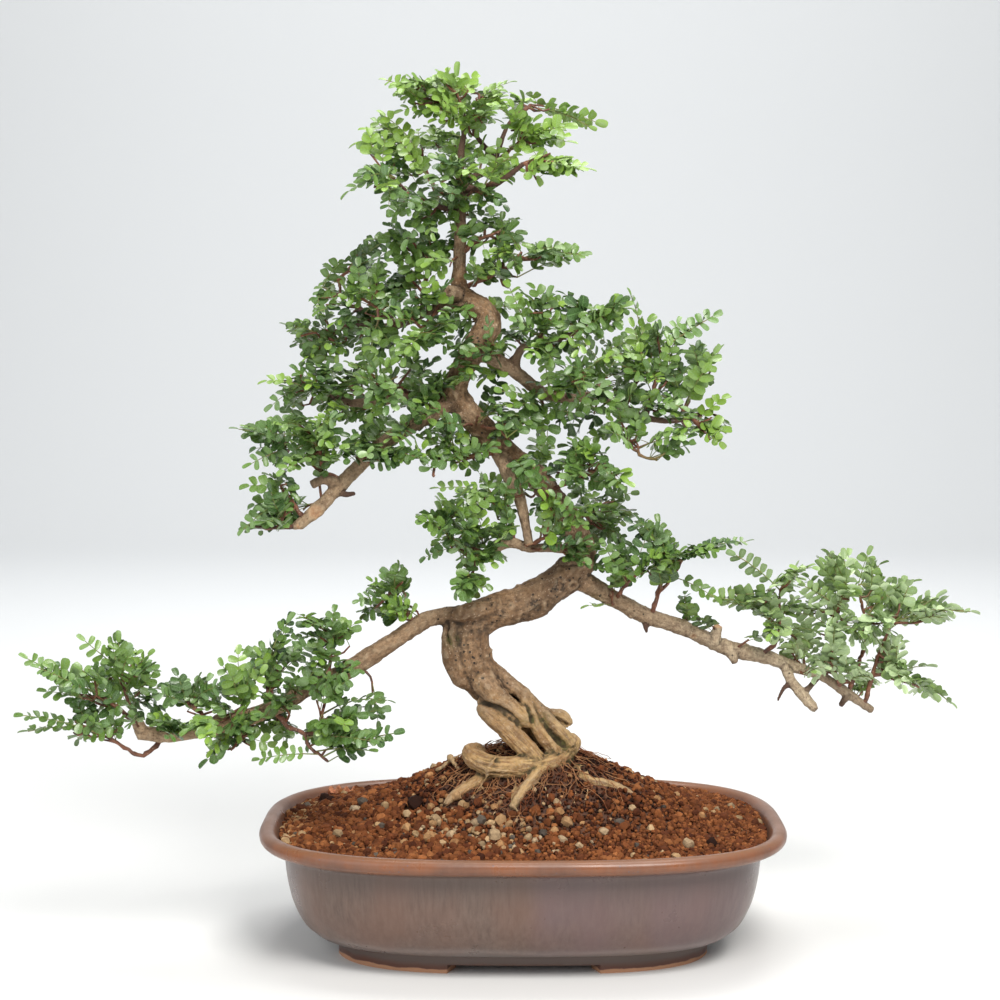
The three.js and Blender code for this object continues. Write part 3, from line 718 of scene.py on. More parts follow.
@dataclass(frozen=True)
class BarkFinish(Finish):
    """Bark of an old pepper tree: furrowed tan roots, grey-brown limbs, black pits and pale specks."""

    name: str = "pepper_bark"
    root: Rgb = (0.54, 0.345, 0.14)
    root_dark: Rgb = (0.17, 0.085, 0.03)
    root_rust: Rgb = (0.42, 0.2, 0.065)
    root_grit: Rgb = (0.55, 0.42, 0.25)
    root_soil: Rgb = (0.2, 0.105, 0.05)
    trunk: Rgb = (0.16, 0.085, 0.038)
    trunk_grey: Rgb = (0.38, 0.25, 0.145)
    trunk_shade: Rgb = (0.115, 0.07, 0.038)
    rust: Rgb = (0.34, 0.18, 0.075)
    limb: Rgb = (0.4, 0.275, 0.165)
    lit_limb: Rgb = (0.64, 0.53, 0.37)
    shaded_high_limb: Rgb = (0.15, 0.085, 0.05)
    grit: Rgb = (0.085, 0.045, 0.022)
    furrow: Rgb = (0.075, 0.042, 0.023)
    pale_fleck: Rgb = (0.5, 0.38, 0.27)
    brown_fleck: Rgb = (0.07, 0.036, 0.018)
    pit: Rgb = (0.012, 0.008, 0.006)
    smudge: Rgb = (0.02, 0.014, 0.01)
    crevice: Rgb = (0.03, 0.018, 0.009)
    ridge: Rgb = (0.52, 0.4, 0.26)
    crown: Rgb = (0.085, 0.044, 0.026)
    young: Rgb = (0.085, 0.042, 0.026)
    moss: Rgb = (0.1, 0.1, 0.022)
    cut: Rgb = (0.55, 0.36, 0.21)
    cut_ring: Rgb = (0.42, 0.22, 0.11)

    def dress(self, skin: Skin) -> None:
        """Builds the material. It reads how the wood grew and its kind from the piece's attributes.

        Args:
            skin: the board of its material.
        """
        across, level = skin.axis("X"), skin.axis("Z")
        grown, kind = skin.looks("grown")["Vector"], skin.looks("bark_kind")
        root, moss, cut = skin.thirds(kind["Color"])
        thin = kind["Alpha"]
        hollow, pitted, smudge = skin.thirds(skin.looks("bark_hollows_and_wear")["Color"])
        sockets = {"Vector": grown, "Furrows": 330.0, "Threads": 1300.0}
        fibres = skin.put("ShaderNodeGroup", sockets, node_tree=skin.effects.fibres).outputs
        furrow, thread = fibres["Furrow"], fibres["Thread"]
        patch, broad = skin.mottle(85.0, 0.36, 0.64), skin.mottle(22.0, 0.4, 0.6)
        grit = skin.mottle(380.0, 0.36, 0.66)
        trunk = skin.over(self.trunk, self.trunk_grey, patch)
        trunk = skin.over(trunk, self.rust, skin.times(broad, 0.5))
        # Painted shade: the trunk is darker from its middle towards the right, where it lies in shade under the
        # limbs and leaves.
        trunk = skin.over(trunk, self.trunk_shade, across, -0.015, 0.025, 0.0, 0.4)
        # Painted light: the limbs grow lighter towards the right, where the light falls more strongly.
        limb = skin.over(self.limb, self.lit_limb, across, 0.04, 0.16)
        # Painted shade: the upper limbs are darker, in the shade of the foliage.
        limb = skin.over(limb, self.shaded_high_limb, level, 0.36, 0.4, 0.0, 0.72)
        limb = skin.over(limb, self.trunk_grey, skin.times(patch, 0.5))
        bark = skin.over(trunk, limb, thin, 0.05, 0.45, 0.0, 0.85)
        bark = skin.over(bark, self.grit, skin.times(grit, 0.62))
        bark = skin.over(bark, self.furrow, furrow, 0.32, 0.44, 0.4, 0.0)
        roots = skin.over(self.root, self.root_dark, furrow, 0.38, 0.54, 1.0, 0.0)
        roots = skin.over(roots, self.root_rust, skin.times(broad, 0.5))
        roots = skin.over(roots, self.root_dark, thread, 0.5, 0.36, 0.0, 0.35)
        roots = skin.over(roots, self.root_grit, skin.times(grit, 0.22))
        roots = skin.over(roots, self.root_soil, level, 0.132, 0.104, 0.0, 0.5)
        colour = skin.over(bark, roots, root)
        pale = skin.times(skin.flecks(560.0, 0.3, 0.34, grown), skin.spread(broad, 0.0, 1.0, 0.6, 0.2))
        colour = skin.over(colour, self.pale_fleck, pale)
        brown = skin.times(skin.flecks(620.0, 0.32, 0.3, grown), skin.spread(root, 0.2, 0.8, 0.5, 0.15))
        colour = skin.over(colour, self.brown_fleck, brown)
        many = skin.times(skin.flecks(300.0, 0.27, 0.55), skin.spread(pitted, 0.35, 0.7))
        few = skin.times(skin.flecks(160.0, 0.13, 0.3), skin.spread(root, 0.6, 0.2))
        pits = skin.sum("MAXIMUM", many, few)
        colour = skin.over(colour, self.pit, skin.times(pits, 0.92))
        stain = skin.times(smudge, skin.spread(skin.grain(330.0, 4.0), 0.42, 0.56))
        colour = skin.over(colour, self.smudge, skin.times(stain, 0.9))
        # Painted shade: the deepest hollows of the bark are darkened nearly to black, where shade falls in
        # them.
        colour = skin.over(colour, self.crevice, hollow, 0.56, 0.86, 0.0, 0.92)
        colour = skin.over(colour, self.ridge, hollow, 0.5, 0.28, 0.0, 0.3)
        colour = skin.over(colour, self.crown, level, 0.51, 0.55, 0.0, 0.88)
        colour = skin.over(colour, self.young, thin, 0.62, 0.92)
        green = skin.times(moss, skin.spread(skin.grain(420.0, 4.0), 0.4, 0.6, 0.1, 0.8))
        colour = skin.over(colour, self.moss, green)
        colour = skin.over(colour, skin.over(self.cut, self.cut_ring, skin.grain(420.0, 2.0), 0.35, 0.65), cut)
        relief = (skin.times(pits, -0.6), skin.times(skin.grain(1500.0, 2.0), 0.25), skin.times(grit, -0.35))
        skin.bump(skin.total(fibres["Height"], *relief), 1.0, 1.5)
        skin.finish(colour, skin.spread(thread, 0.3, 0.7, 0.68, 0.88))


@dataclass(frozen=True)
class ShootFinish(Finish):
    """Thin bark of the leafy twigs: dark reddish brown, with paler rings and greener ends."""

    name: str = "young_twig_bark"
    dark: Rgb = (0.065, 0.024, 0.013)
    red: Rgb = (0.24, 0.095, 0.05)
    spot: Rgb = (0.4, 0.27, 0.18)
    green: Rgb = (0.16, 0.2, 0.045)

    def dress(self, skin: Skin) -> None:
        """Builds the material. The looks' first number is 1 at a shoot's green end.

        Args:
            skin: the board of its material.
        """
        patch = skin.mottle(180.0, 0.35, 0.65)
        colour = skin.over(self.dark, self.red, patch)
        colour = skin.over(colour, self.spot, skin.times(skin.flecks(600.0, 0.28, 0.25), 0.6))
        end = skin.thirds(skin.looks("leaf_look")["Color"])[0]
        colour = skin.over(colour, self.green, end, 0.6, 1.0, 0.0, 0.8)
        skin.bump(skin.grain(1400.0, 2.0), 0.4, 0.3)
        skin.finish(colour, skin.spread(patch, 0.0, 1.0, 0.5, 0.7))


@dataclass(frozen=True)
class LeafFinish(Finish):
    """Small leathery leaflets: deep green with a pale grey bloom and a painted sheen, and yellow-green while
    young.
    """

    name: str = "pepper_leaflet"
    deep: Rgb = (0.018, 0.06, 0.009)
    middle: Rgb = (0.075, 0.17, 0.024)
    young: Rgb = (0.24, 0.4, 0.035)
    bloom_and_sheen: Rgb = (0.3, 0.39, 0.235)
    far_right_light: Rgb = (0.48, 0.6, 0.33)
    rib: Rgb = (0.2, 0.36, 0.13)

    def dress(self, skin: Skin) -> None:
        """Builds the material. The looks hold age, tone, nearness to the midrib and the underside.

        Args:
            skin: the board of its material.
        """
        look = skin.looks("leaf_look")
        age, tone, rib = skin.thirds(look["Color"])
        colour = skin.over(self.deep, self.middle, tone, 0.1, 0.9)
        colour = skin.over(colour, self.young, age, 0.0, 1.0)
        # Painted sheen: cloudy pale grey-green patches, partly the leaves' real bloom and partly painted
        # reflection of the sky.
        bloom_and_sheen_patches = skin.times(skin.mottle(95.0, 0.4, 0.62), skin.spread(tone, 0.35, 0.95, 0.04, 0.5))
        colour = skin.over(colour, self.bloom_and_sheen, bloom_and_sheen_patches)
        # Painted light: leaves at the far right end are lighter, where the light falls most strongly.
        far = skin.times(skin.spread(skin.axis("X"), 0.14, 0.22), skin.spread(tone, 0.28, 0.7, 0.18, 0.95))
        colour = skin.over(colour, self.far_right_light, far)
        fine = skin.grain(1100.0, 2.0)
        colour = skin.over(colour, self.bloom_and_sheen, fine, 0.3, 0.7, 0.0, 0.16)
        colour = skin.over(colour, self.rib, rib, 0.86, 0.97, 0.0, 0.6)
        colour = skin.over(colour, self.bloom_and_sheen, look["Alpha"], 0.0, 1.0, 0.0, 0.45)
        skin.bump(skin.total(fine, skin.times(rib, 0.4)), 0.3, 0.2)
        skin.finish(colour, skin.spread(fine, 0.3, 0.7, 0.22, 0.38))


@dataclass(frozen=True)
class GrainFinish(Finish):
    """Grains of baked clay, pumice and lava, each with a tone of its own."""

    name: str = "soil_grain"
    stops: tuple[tuple[float, Rgb], ...] = (
        (0.0, (0.014, 0.006, 0.004)), (0.16, (0.05, 0.014, 0.006)), (0.3, (0.11, 0.033, 0.012)),
        (0.5, (0.2, 0.068, 0.022)), (0.66, (0.31, 0.12, 0.042)), (0.72, (0.36, 0.2, 0.09)),
        (0.8, (0.38, 0.26, 0.14)), (0.9, (0.39, 0.285, 0.175)), (0.945, (0.43, 0.34, 0.235)),
        (0.95, (0.045, 0.036, 0.03)), (1.0, (0.15, 0.125, 0.1)),
    )
    shade: Rgb = (0.62, 0.6, 0.58)
    shine: Rgb = (1.15, 1.12, 1.1)

    def dress(self, skin: Skin) -> None:
        """Builds the material. The looks hold the grain's tone and its brightness.

        Args:
            skin: the board of its material.
        """
        tone, bright, _ = skin.thirds(skin.looks("grain_look")["Color"])
        ramp = skin.put("ShaderNodeValToRGB", {"Fac": tone})
        while len(ramp.color_ramp.elements) < len(self.stops):
            ramp.color_ramp.elements.new(1.0)
        for element, (place, colour) in zip(ramp.color_ramp.elements, self.stops):
            element.position = place
            element.color = (*colour, 1.0)
        patch = skin.mottle(420.0, 0.3, 0.7)
        shade = skin.over(self.shade, self.shine, patch)
        colour = skin.mixed(1.0, ramp.outputs["Color"], shade, "MULTIPLY")
        sockets = {0: colour, "Scale": skin.spread(bright, 0.0, 1.0, 0.75, 1.4)}
        colour = skin.put("ShaderNodeVectorMath", sockets, operation="SCALE").outputs[0]
        skin.bump(skin.grain(1600.0), 0.6, 0.4)
        skin.finish(colour, skin.spread(patch, 0.0, 1.0, 0.74, 0.92), 0.16)


@dataclass(frozen=True)
class CloudyFinish(Finish):
    """Two colours in cloudy patches, for stalks and earth."""

    name: str = "leaf_stalk"
    dark: Rgb = (0.14, 0.23, 0.05)
    pale: Rgb = (0.22, 0.17, 0.06)
    mottle: Reading = (120.0, 0.35, 0.65)
    rough: tuple[float, float] = (0.45, 0.6)
    relief: Reading = (0.0, 0.0, 0.0)

    def dress(self, skin: Skin) -> None:
        """Builds the material, with relief of a scale, a strength and a depth where it has any.

        Args:
            skin: the board of its material.
        """
        patch = skin.mottle(*self.mottle)
        scale, strength, depth = self.relief
        if scale:
            skin.bump(skin.grain(scale, 4.0), strength, depth)
        skin.finish(skin.over(self.dark, self.pale, patch), skin.spread(patch, 0.0, 1.0, *self.rough))


@dataclass(frozen=True)
class FibreFinish(Finish):
    """Rootlets, chips of bark and the drain screens' plastic: two colours along cloudy patches."""

    name: str = "rootlet"
    dark: Rgb = (0.17, 0.05, 0.02)
    pale: Rgb = (0.42, 0.22, 0.1)
    density: float = 45.0

    def dress(self, skin: Skin) -> None:
        """Builds the material.

        Args:
            skin: the board of its material.
        """
        fine = skin.grain(800.0, 2.0)
        colour = skin.over(self.dark, self.pale, skin.mottle(self.density, 0.4, 0.6))
        colour = skin.over(colour, self.dark, fine, 0.35, 0.65, 0.0, 0.4)
        skin.bump(fine, 0.5, 0.3)
        skin.finish(colour, skin.spread(fine, 0.3, 0.7, 0.6, 0.85), 0.2)


class Hand(Enum):
    """Which way a leaf faces."""

    FRONT = -1.0
    BACK = 1.0


@dataclass
class Skeleton:
    """Close samples along every limb and root: where the wood lies and how it runs."""

    places: Array
    sides: Array
    overs: Array
    aheads: Array
    radii: Array
    alongs: Array
    limbs: Array
    tree: KDTree
    START = 37.0

    @classmethod
    def of_limbs(cls, limbs: dict, step: float) -> "Skeleton":
        """Samples the limbs.

        Args:
            limbs: name to readings of across, height, depth and radius.
            step: the distance between samples.

        Returns:
            The skeleton.
        """
        samples = []
        for number, points in enumerate(limbs.values()):
            radii = np.array([point[3] for point in points])
            path, radii = smooth_path(seen_all(point[:3] for point in points), radii, step)
            aheads = np.gradient(path, axis=0)
            aheads /= np.linalg.norm(aheads, axis=1)[:, None]
            side = np.cross(aheads[0], (0.3, 1.0, 0.2))
            sides = []
            for ahead in aheads:
                side = side - ahead * side.dot(ahead)
                side = side / np.linalg.norm(side)
                sides.append(side)
            steps = np.linalg.norm(np.diff(path, axis=0), axis=1)
            alongs = np.concatenate([[0.0], np.cumsum(steps)]) + cls.START * number
            overs = np.cross(aheads, np.array(sides))
            samples.append((path, np.array(sides), overs, aheads, radii, alongs, np.full(len(path), number)))
        arrays = [np.concatenate(part) for part in zip(*samples)]
        tree = KDTree(len(arrays[0]))
        for number, place in enumerate(arrays[0]):
            tree.insert(place, number)
        tree.balance()
        return cls(*arrays, tree)

    def nearest(self, corners: Array) -> Array:
        """Finds the sample whose bark each corner lies nearest to.

        Args:
            corners: the corners.

        Returns:
            The samples' numbers.
        """
        found = np.empty(len(corners), dtype=np.int64)
        for row, corner in enumerate(corners):
            hits = self.tree.find_n(corner, 7)
            found[row] = min(hits, key=lambda hit: hit[2] - self.radii[hit[1]])[1]
        return found

    def clear_of(self, place: Array) -> float:
        """Gives how far a place is from the nearest bark."""
        return min(distance - self.radii[number] for _, number, distance in self.tree.find_n(place, 3))


@dataclass(frozen=True)
class Scar:
    """A healed or open cut: where it is, how wide, how high its lip stands and how raw it looks."""

    place: Reading
    radius: float
    lip: float
    raw: float


@dataclass
class Wood:
    """The trunk, roots and limbs, grown as one piece. Its patches are places with their reach."""

    voxel: float = 1.25
    root_top: float = 182.0
    root_fade: float = 38.0
    bulges: float = 34.0
    lumps: float = 13.0
    knots: float = 6.5
    pocks: float = 3.1
    furrows: Reading = (2.4, 2.4, 15.0)
    threads: Reading = (1.4, 1.4, 4.0)
    crease_width: float = 1.7
    easings: int = 14
    scars: tuple[Scar, ...] = (
        Scar((-55, 478, -19), 4.4, 1.2, 0.05), Scar((125, 226, 26), 2.4, 0.9, 0.5),
        Scar((-151, 317, -46), 5.6, 0.8, 0.7), Scar((38, 262, -4), 4.5, 1.2, 0.1),
        Scar((-134, 201, -36), 3.2, 0.9, 0.3), Scar((-33, 132, -38), 3.5, 0.4, 0.35),
        Scar((3, 419, -14), 3.0, 0.9, 0.2),
    )
    moss: tuple[tuple[Reading, float], ...] = (
        ((6, 163, -20), 7.0), ((31, 146, -8), 8.0), ((36, 138, -4), 8.0), ((-53, 223, -14), 5.0),
        ((18, 165, -14), 5.0), ((-30, 140, -14), 6.0), ((-6, 100, -56), 6.0),
    )
    creases: tuple[tuple[tuple[Reading, ...], float], ...] = (
        (((-55, 235, -12), (-56, 227, -13), (-53, 221, -16), (-50, 215, -18), (-50, 208, -18)), 3.6),
        (
            ((-36, 174, -6), (-31, 176, -12), (-22, 175, -18), (-11, 170, -22), (-2, 162, -24), (6, 155, -24)),
            2.6,
        ),
        (((-18, 189, -12), (-8, 184, -14), (0, 179, -16), (5, 170, -18), (7, 163, -20)), 2.6),
        (((9, 165, -16), (18, 155, -16), (26, 148, -14)), 2.2),
        (((13, 172, -8), (21, 164, -8), (28, 161, -6), (34, 159, -4)), 2.2),
        (((-37, 229, -15), (-31, 225, -16), (-26, 223, -14)), 2.4),
        (((-30, 233, -16), (-18, 234, -12), (-12, 237, -10)), 1.6),
    )
    bumps: tuple[tuple[Reading, float, float], ...] = (
        ((1, 178, -17), 2.4, 2.2), ((2, 173, -18), 2.2, 2.0), ((7, 170, -18), 2.0, 1.6),
        ((-26, 214, 0), 2.6, 3.0), ((-25, 205, -2), 2.2, 2.0), ((4, 265, -8), 4.0, 1.6),
        ((12, 270, 0), 4.0, 1.8), ((-130, 206, -32), 3.5, 1.8), ((-224, 168, -50), 4.0, 2.0),
        ((-243, 162, -54), 3.0, 1.6), ((163, 220, 40), 3.0, 1.6), ((-57, 478, -22), 2.6, -2.6),
    )
    pitted: tuple[tuple[Reading, float], ...] = (
        ((25, 262, -6), 9.0), ((6, 249, -9), 9.0), ((-20, 246, -12), 12.0), ((-41, 212, -16), 10.0),
        ((-34, 196, -16), 6.0), ((38, 272, -4), 7.0), ((28, 306, 0), 9.0), ((-24, 372, -6), 10.0),
        ((-30, 446, -18), 8.0), ((60, 258, 6), 6.0), ((10, 262, 18), 14.0), ((-38, 215, 16), 14.0),
    )
    smudges: tuple[tuple[Reading, float], ...] = (
        ((28, 263, -6), 5.0), ((8, 249, -9), 4.5), ((-27, 229, -14), 5.5), ((-17, 243, -12), 4.0),
        ((0, 346, -4), 4.0), ((34, 290, 0), 4.0), ((-57, 478, -22), 2.6),
    )
    cut_ends: tuple[str, ...] = ("left", "middle_stub", "right_nub")

    def build(self, skeleton: Skeleton, finish: Material) -> None:
        """Models the wood, gives it its bark relief and hands it over.

        Args:
            skeleton: the limbs' samples.
            finish: the bark.
        """
        limbs = [skeleton.limbs == number for number in range(len(LIMBS))]
        rods = [Rod(skeleton.places[rows], skeleton.radii[rows]) for rows in limbs]
        for points, radius in FINE_ROOTS:
            radii = np.linspace(radius, radius * 0.75, len(points))
            rods.append(Rod(*smooth_path(seen_all(points), radii, 2.0)))
        thing = model_rods("trunk_roots_and_limbs", rods, 4)
        add_modifier(thing, "REMESH", mode="VOXEL", voxel_size=self.voxel * MM)
        add_modifier(thing, "SMOOTH", factor=0.5, iterations=3)
        self._carve(thing, skeleton)
        settle(thing, 75.0, "bark", ["wood"], finish)

    def _carve(self, thing: Thing, skeleton: Skeleton) -> None:
        """Raises the bark's relief and keeps what the bark finish reads.

        Args:
            thing: the smooth wood.
            skeleton: the limbs' samples.
        """
        corners, normals = corners_of(thing) / MM, normals_of(thing)
        near = skeleton.nearest(corners)
        offsets = corners - skeleton.places[near]
        ways = (skeleton.sides, skeleton.overs, skeleton.aheads)
        across, over, ahead = (np.einsum("ij,ij->i", offsets, way[near]) for way in ways)
        grown = np.column_stack([across, over, skeleton.alongs[near] + ahead])
        radii = skeleton.radii[near]
        names = np.array(list(LIMBS))[skeleton.limbs[near]]
        is_root, is_trunk = (np.char.startswith(names, word) for word in ("root", "trunk"))
        high = (self.root_top - corners[:, 2]) / self.root_fade
        root = ease(high + 0.5 * cloudy(corners / self.lumps + 5.0) + 0.25)
        root = (is_root | is_trunk) * root
        lift = self._relief(corners, grown, radii, root, is_trunk)
        raw = self._wounds(corners, normals, lift, skeleton)
        move_corners(thing, (corners + normals * lift[:, None]) * MM)
        kinds = (self.moss, self.pitted, self.smudges)
        green, pits, smudge = (self._patches(corners, spots) for spots in kinds)
        hollow = self._hollowness(thing)
        green = np.maximum(green * ease(hollow * 1.8 - 0.2), 0.6 * root * ease(hollow * 1.8 - 0.8))
        thin = np.where(is_trunk, ease((6.0 - radii) / 5.0), ease((8.5 - radii) / 7.0))
        thin = np.where(is_root, 0.0, thin)
        keep(thing, "bark_kind", "COLOR", np.column_stack([root, green, raw, thin]))
        keep(thing, "bark_hollows_and_wear", "COLOR", np.column_stack([hollow, pits, smudge, np.ones(len(corners))]))
        keep(thing, "grown", "VECTOR", grown * MM)

    def _relief(self, corners: Array, grown: Array, radii: Array, root: Array, is_trunk: Array) -> Array:
        """Works out how far each corner of the wood stands out.

        Args:
            corners: the places.
            grown: across, over and along the limb, for each corner.
            radii: the limb's radius there.
            root: how much each corner is root bark.
            is_trunk: whether it is on the trunk.

        Returns:
            The heights.
        """
        lift = cloudy(corners / self.lumps) * ease(0.1 * radii, 0.1, 1.1)
        lift += cloudy(corners / self.bulges + 9.0) * ease(0.14 * radii, 0.0, 2.0)
        lift -= np.abs(cloudy(grown / self.furrows)) * (0.2 + 1.1 * root) * ease(radii / 6.0, 0.25)
        lift += cloudy(grown / self.threads + 31.0) * 0.36 * ease(radii / 4.0, 0.3)
        lift += cloudy(corners / self.pocks + 3.0) * 0.4 * ease(radii / 5.0, 0.3)
        knots = ease(cloudy(corners / self.knots + 17.0) - 0.28)
        lift += knots * 3.2 * ease(radii / 9.0, 0.15) * (1.0 - 0.6 * root)
        across, over, along = grown.T
        turn = np.arctan2(over, across)
        flute = np.sin(3.0 * turn + along / 26.0) * 0.45 + np.sin(5.0 * turn - along / 17.0) * 0.2
        lift += flute * np.where(is_trunk, ease((radii - 7.0) / 8.0), 0.0)
        for points, depth in self.creases:
            path = smooth(seen_all(points), 1.0)
            gap = np.min([distances(corners, point) for point in path], axis=0)
            lift -= depth * np.exp(-((gap / self.crease_width) ** 2))
        for place, reach, height in self.bumps:
            lift += height * np.exp(-((distances(corners, seen(place)) / reach) ** 2))
        return lift

    def _wounds(self, corners: Array, normals: Array, lift: Array, skeleton: Skeleton) -> Array:
        """Adds the scars' lips and hollows to the relief, and finds the raw wood.

        Args:
            corners: the places.
            normals: the directions in which they face.
            lift: the relief, which is changed.
            skeleton: the limbs' samples.

        Returns:
            How raw each corner looks.
        """
        raw = np.zeros(len(corners))
        for scar in self.scars:
            gap = distances(corners, seen(scar.place)) / scar.radius
            lift += scar.lip * np.exp(-(((gap - 1.0) / 0.28) ** 2))
            lift -= 0.9 * scar.lip * np.exp(-((gap / 0.62) ** 4))
            raw = np.maximum(raw, scar.raw * ease((0.95 - gap) / 0.12))
        for name in self.cut_ends:
            last = np.flatnonzero(skeleton.limbs == list(LIMBS).index(name))[-1]
            close = distances(corners, skeleton.places[last]) < skeleton.radii[last] * 1.5
            raw = np.maximum(raw, close * (normals @ skeleton.aheads[last] > 0.6))
        return raw

    @staticmethod
    def _patches(corners: Array, spots: tuple[tuple[Reading, float], ...]) -> Array:
        """Gives each corner 1 inside a round patch, and less towards its rim."""
        shares = [ease(1.6 - distances(corners, seen(place)) / reach) for place, reach in spots]
        return np.max(shares, axis=0)

    def _hollowness(self, thing: Thing) -> Array:
        """Compares the wood with an eased copy of itself.

        Args:
            thing: the wood.

        Returns:
            For each corner a number from 0 on a ridge to 1 in a crevice, and 0.5 on the flat.
        """
        edges = np.empty(len(thing.data.edges) * 2, dtype=np.int32)
        thing.data.edges.foreach_get("vertices", edges)
        first, second = edges.reshape(-1, 2).T
        places = corners_of(thing) / MM
        count = len(places)
        joined = np.bincount(first, minlength=count) + np.bincount(second, minlength=count)
        eased = places.copy()
        for _ in range(self.easings):
            there, back = (
                np.column_stack([np.bincount(ends, eased[others, axis], count) for axis in range(3)])
                for ends, others in ((first, second), (second, first))
            )
            eased = 0.4 * eased + 0.6 * (there + back) / np.maximum(joined, 1)[:, None]
        sunk = np.einsum("ij,ij->i", eased - places, normals_of(thing))
        return ease(0.5 + 0.45 * (sunk + 0.25))


def laid(start: Array | float, amounts: Iterable[Array], ways: Iterable[Array]) -> Array:
    """Adds amounts of some directions to a start, one row for each amount."""
    return reduce(lambda total, part: total + np.outer(*part), zip(amounts, ways), start)


@dataclass
class LeafShapes:
    """The compound leaves of unit length, modelled once for each number of leaflet pairs and breadth."""

    rim: int = 12
    breadths: tuple[float, ...] = (0.27, 0.315, 0.36)
    stalk: float = 0.2
    end_leaflet: float = 1.15
    pitches: tuple[float, float] = (5.1, 7.4)
    most_pairs: int = 9
    seed: int = 11
    shapes: dict[int, list[Shape]] = field(default_factory=dict)

    def model(self) -> None:
        """Models the leaflets and the stalks, and puts the leaves together."""
        chances = np.random.default_rng(self.seed)
        leaflets = [self._leaflet(breadth) for breadth in self.breadths]
        for pairs in range(1, self.most_pairs + 1):
            self.shapes[pairs] = [self._leaf(leaflet, pairs, chances) for leaflet in leaflets]

    def _leaflet(self, breadth: float) -> Shape:
        """Models one leaflet: a thin closed blade, rounded outwards and folded along its midrib.

        Args:
            breadth: half its width, of a length of 1.

        Returns:
            The leaflet.
        """
        only()
        bpy.ops.mesh.primitive_cone_add(
            vertices=self.rim, radius1=0.5, radius2=0.0, depth=0.1, end_fill_type="TRIFAN", rotation=(0, 0, 0)
        )
        shape = Shape.taken_from(bpy.context.object)
        ahead, across, up = shape.corners.T
        at_rim, upper = np.hypot(ahead, across) > 0.25, up > 0
        turn = np.arctan2(across, ahead)
        share = 0.5 - 0.5 * np.cos(np.pi * (0.5 + 0.5 * np.cos(turn)))
        share = np.where(at_rim, 0.5 * share + 0.5 * (0.5 + 0.5 * np.cos(turn)), 0.56)
        width = breadth * np.abs(np.sin(turn)) ** 0.8 * (0.84 + 0.32 * share)
        fold = np.where(at_rim, 0.33 * width, 0.0)
        thick = np.where(at_rim, 0.0, np.where(upper, 0.012, -0.012))
        width = np.where(at_rim, np.sign(across) * width, 0.0)
        shape.corners = np.column_stack([share, width, fold + thick - 0.1 * share**2])
        shape.looks[:, 2] = ~at_rim | (np.abs(np.sin(turn)) < 0.05)
        shape.looks[:, 3] = ~at_rim & ~upper
        return shape

    def _leaf(self, leaflet: Shape, pairs: int, chances: Chances) -> Shape:
        """Puts one compound leaf of unit length together, along +X with its face up.

        Args:
            leaflet: the one leaflet.
            pairs: the number of leaflet pairs.
            chances: the source of the leaf's small chances.

        Returns:
            The leaf.
        """
        pitch = (1.0 - self.stalk) / (pairs + self.end_leaflet)
        end = 1.0 - self.end_leaflet * pitch
        places = np.column_stack([np.linspace(0.0, end, 5), np.zeros(5), np.zeros(5)])
        stalk = model_rods("leaf_stalk", [Rod(places / MM, np.linspace(12.0, 7.0, 5))], 0)
        rod = Shape.taken_from(stalk, 1)
        leaf = Gathering()
        leaf.add(rod.corners, rod.faces, rod.looks, rod.kinds)
        for order in range(pairs):
            here = self.stalk + pitch * (order + 0.3)
            swell = 0.86 + 0.36 * math.sin(math.pi * (order + 1.2) / (pairs + 1.0))
            for side in (-1.0, 1.0):
                length = pitch * 1.1 * swell * chances.uniform(0.88, 1.1)
                heading = side * math.radians(chances.uniform(52, 80))
                self._attach(leaf, leaflet, here, length, heading, chances)
        heading = math.radians(chances.uniform(-8, 8))
        self._attach(leaf, leaflet, end, self.end_leaflet * pitch, heading, chances)
        return leaf.as_shape()

    @staticmethod
    def _attach(
        leaf: Gathering, leaflet: Shape, here: float, length: float, heading: float, chances: Chances
    ) -> None:
        """Adds a leaflet to a leaf.

        Args:
            leaf: the leaf.
            leaflet: the leaflet to copy.
            here: its place along the stalk.
            length: its length.
            heading: the way it points, as an angle from the stalk.
            chances: the source of its small chances.
        """
        roll, lift = chances.normal(0.0, 0.34), chances.uniform(-0.1, 0.42)
        level, tilt = math.cos(roll), math.sin(roll)
        way, side = math.cos(heading), math.sin(heading)
        ahead = np.array([way * math.cos(lift), side * math.cos(lift), math.sin(lift)])
        across = np.array([-side, way, 0.0])
        face = np.cross(ahead, across)
        across, face = across * level + face * tilt, face * level - across * tilt
        corners = laid(0.0, (leaflet.corners * length).T, (ahead, across, face))
        corners[:, 0] += here
        looks = leaflet.looks.copy()
        looks[:, 1] = chances.uniform(0.25, 0.75)
        leaf.add(corners, leaflet.faces, looks, leaflet.kinds)

    def fitting(self, length: float, swell: float, chances: Chances) -> Shape:
        """Picks a leaf whose leaflets are of the true size.

        Args:
            length: the leaf's length.
            swell: how much larger than usual its leaflets are.
            chances: the source of its small chances.

        Returns:
            The leaf.
        """
        pitch = chances.uniform(*self.pitches) * swell
        pairs = round((1.0 - self.stalk) * length / pitch - self.end_leaflet)
        pairs = int(ease(pairs, 1, self.most_pairs))
        return self.shapes[pairs][chances.integers(len(self.breadths))]


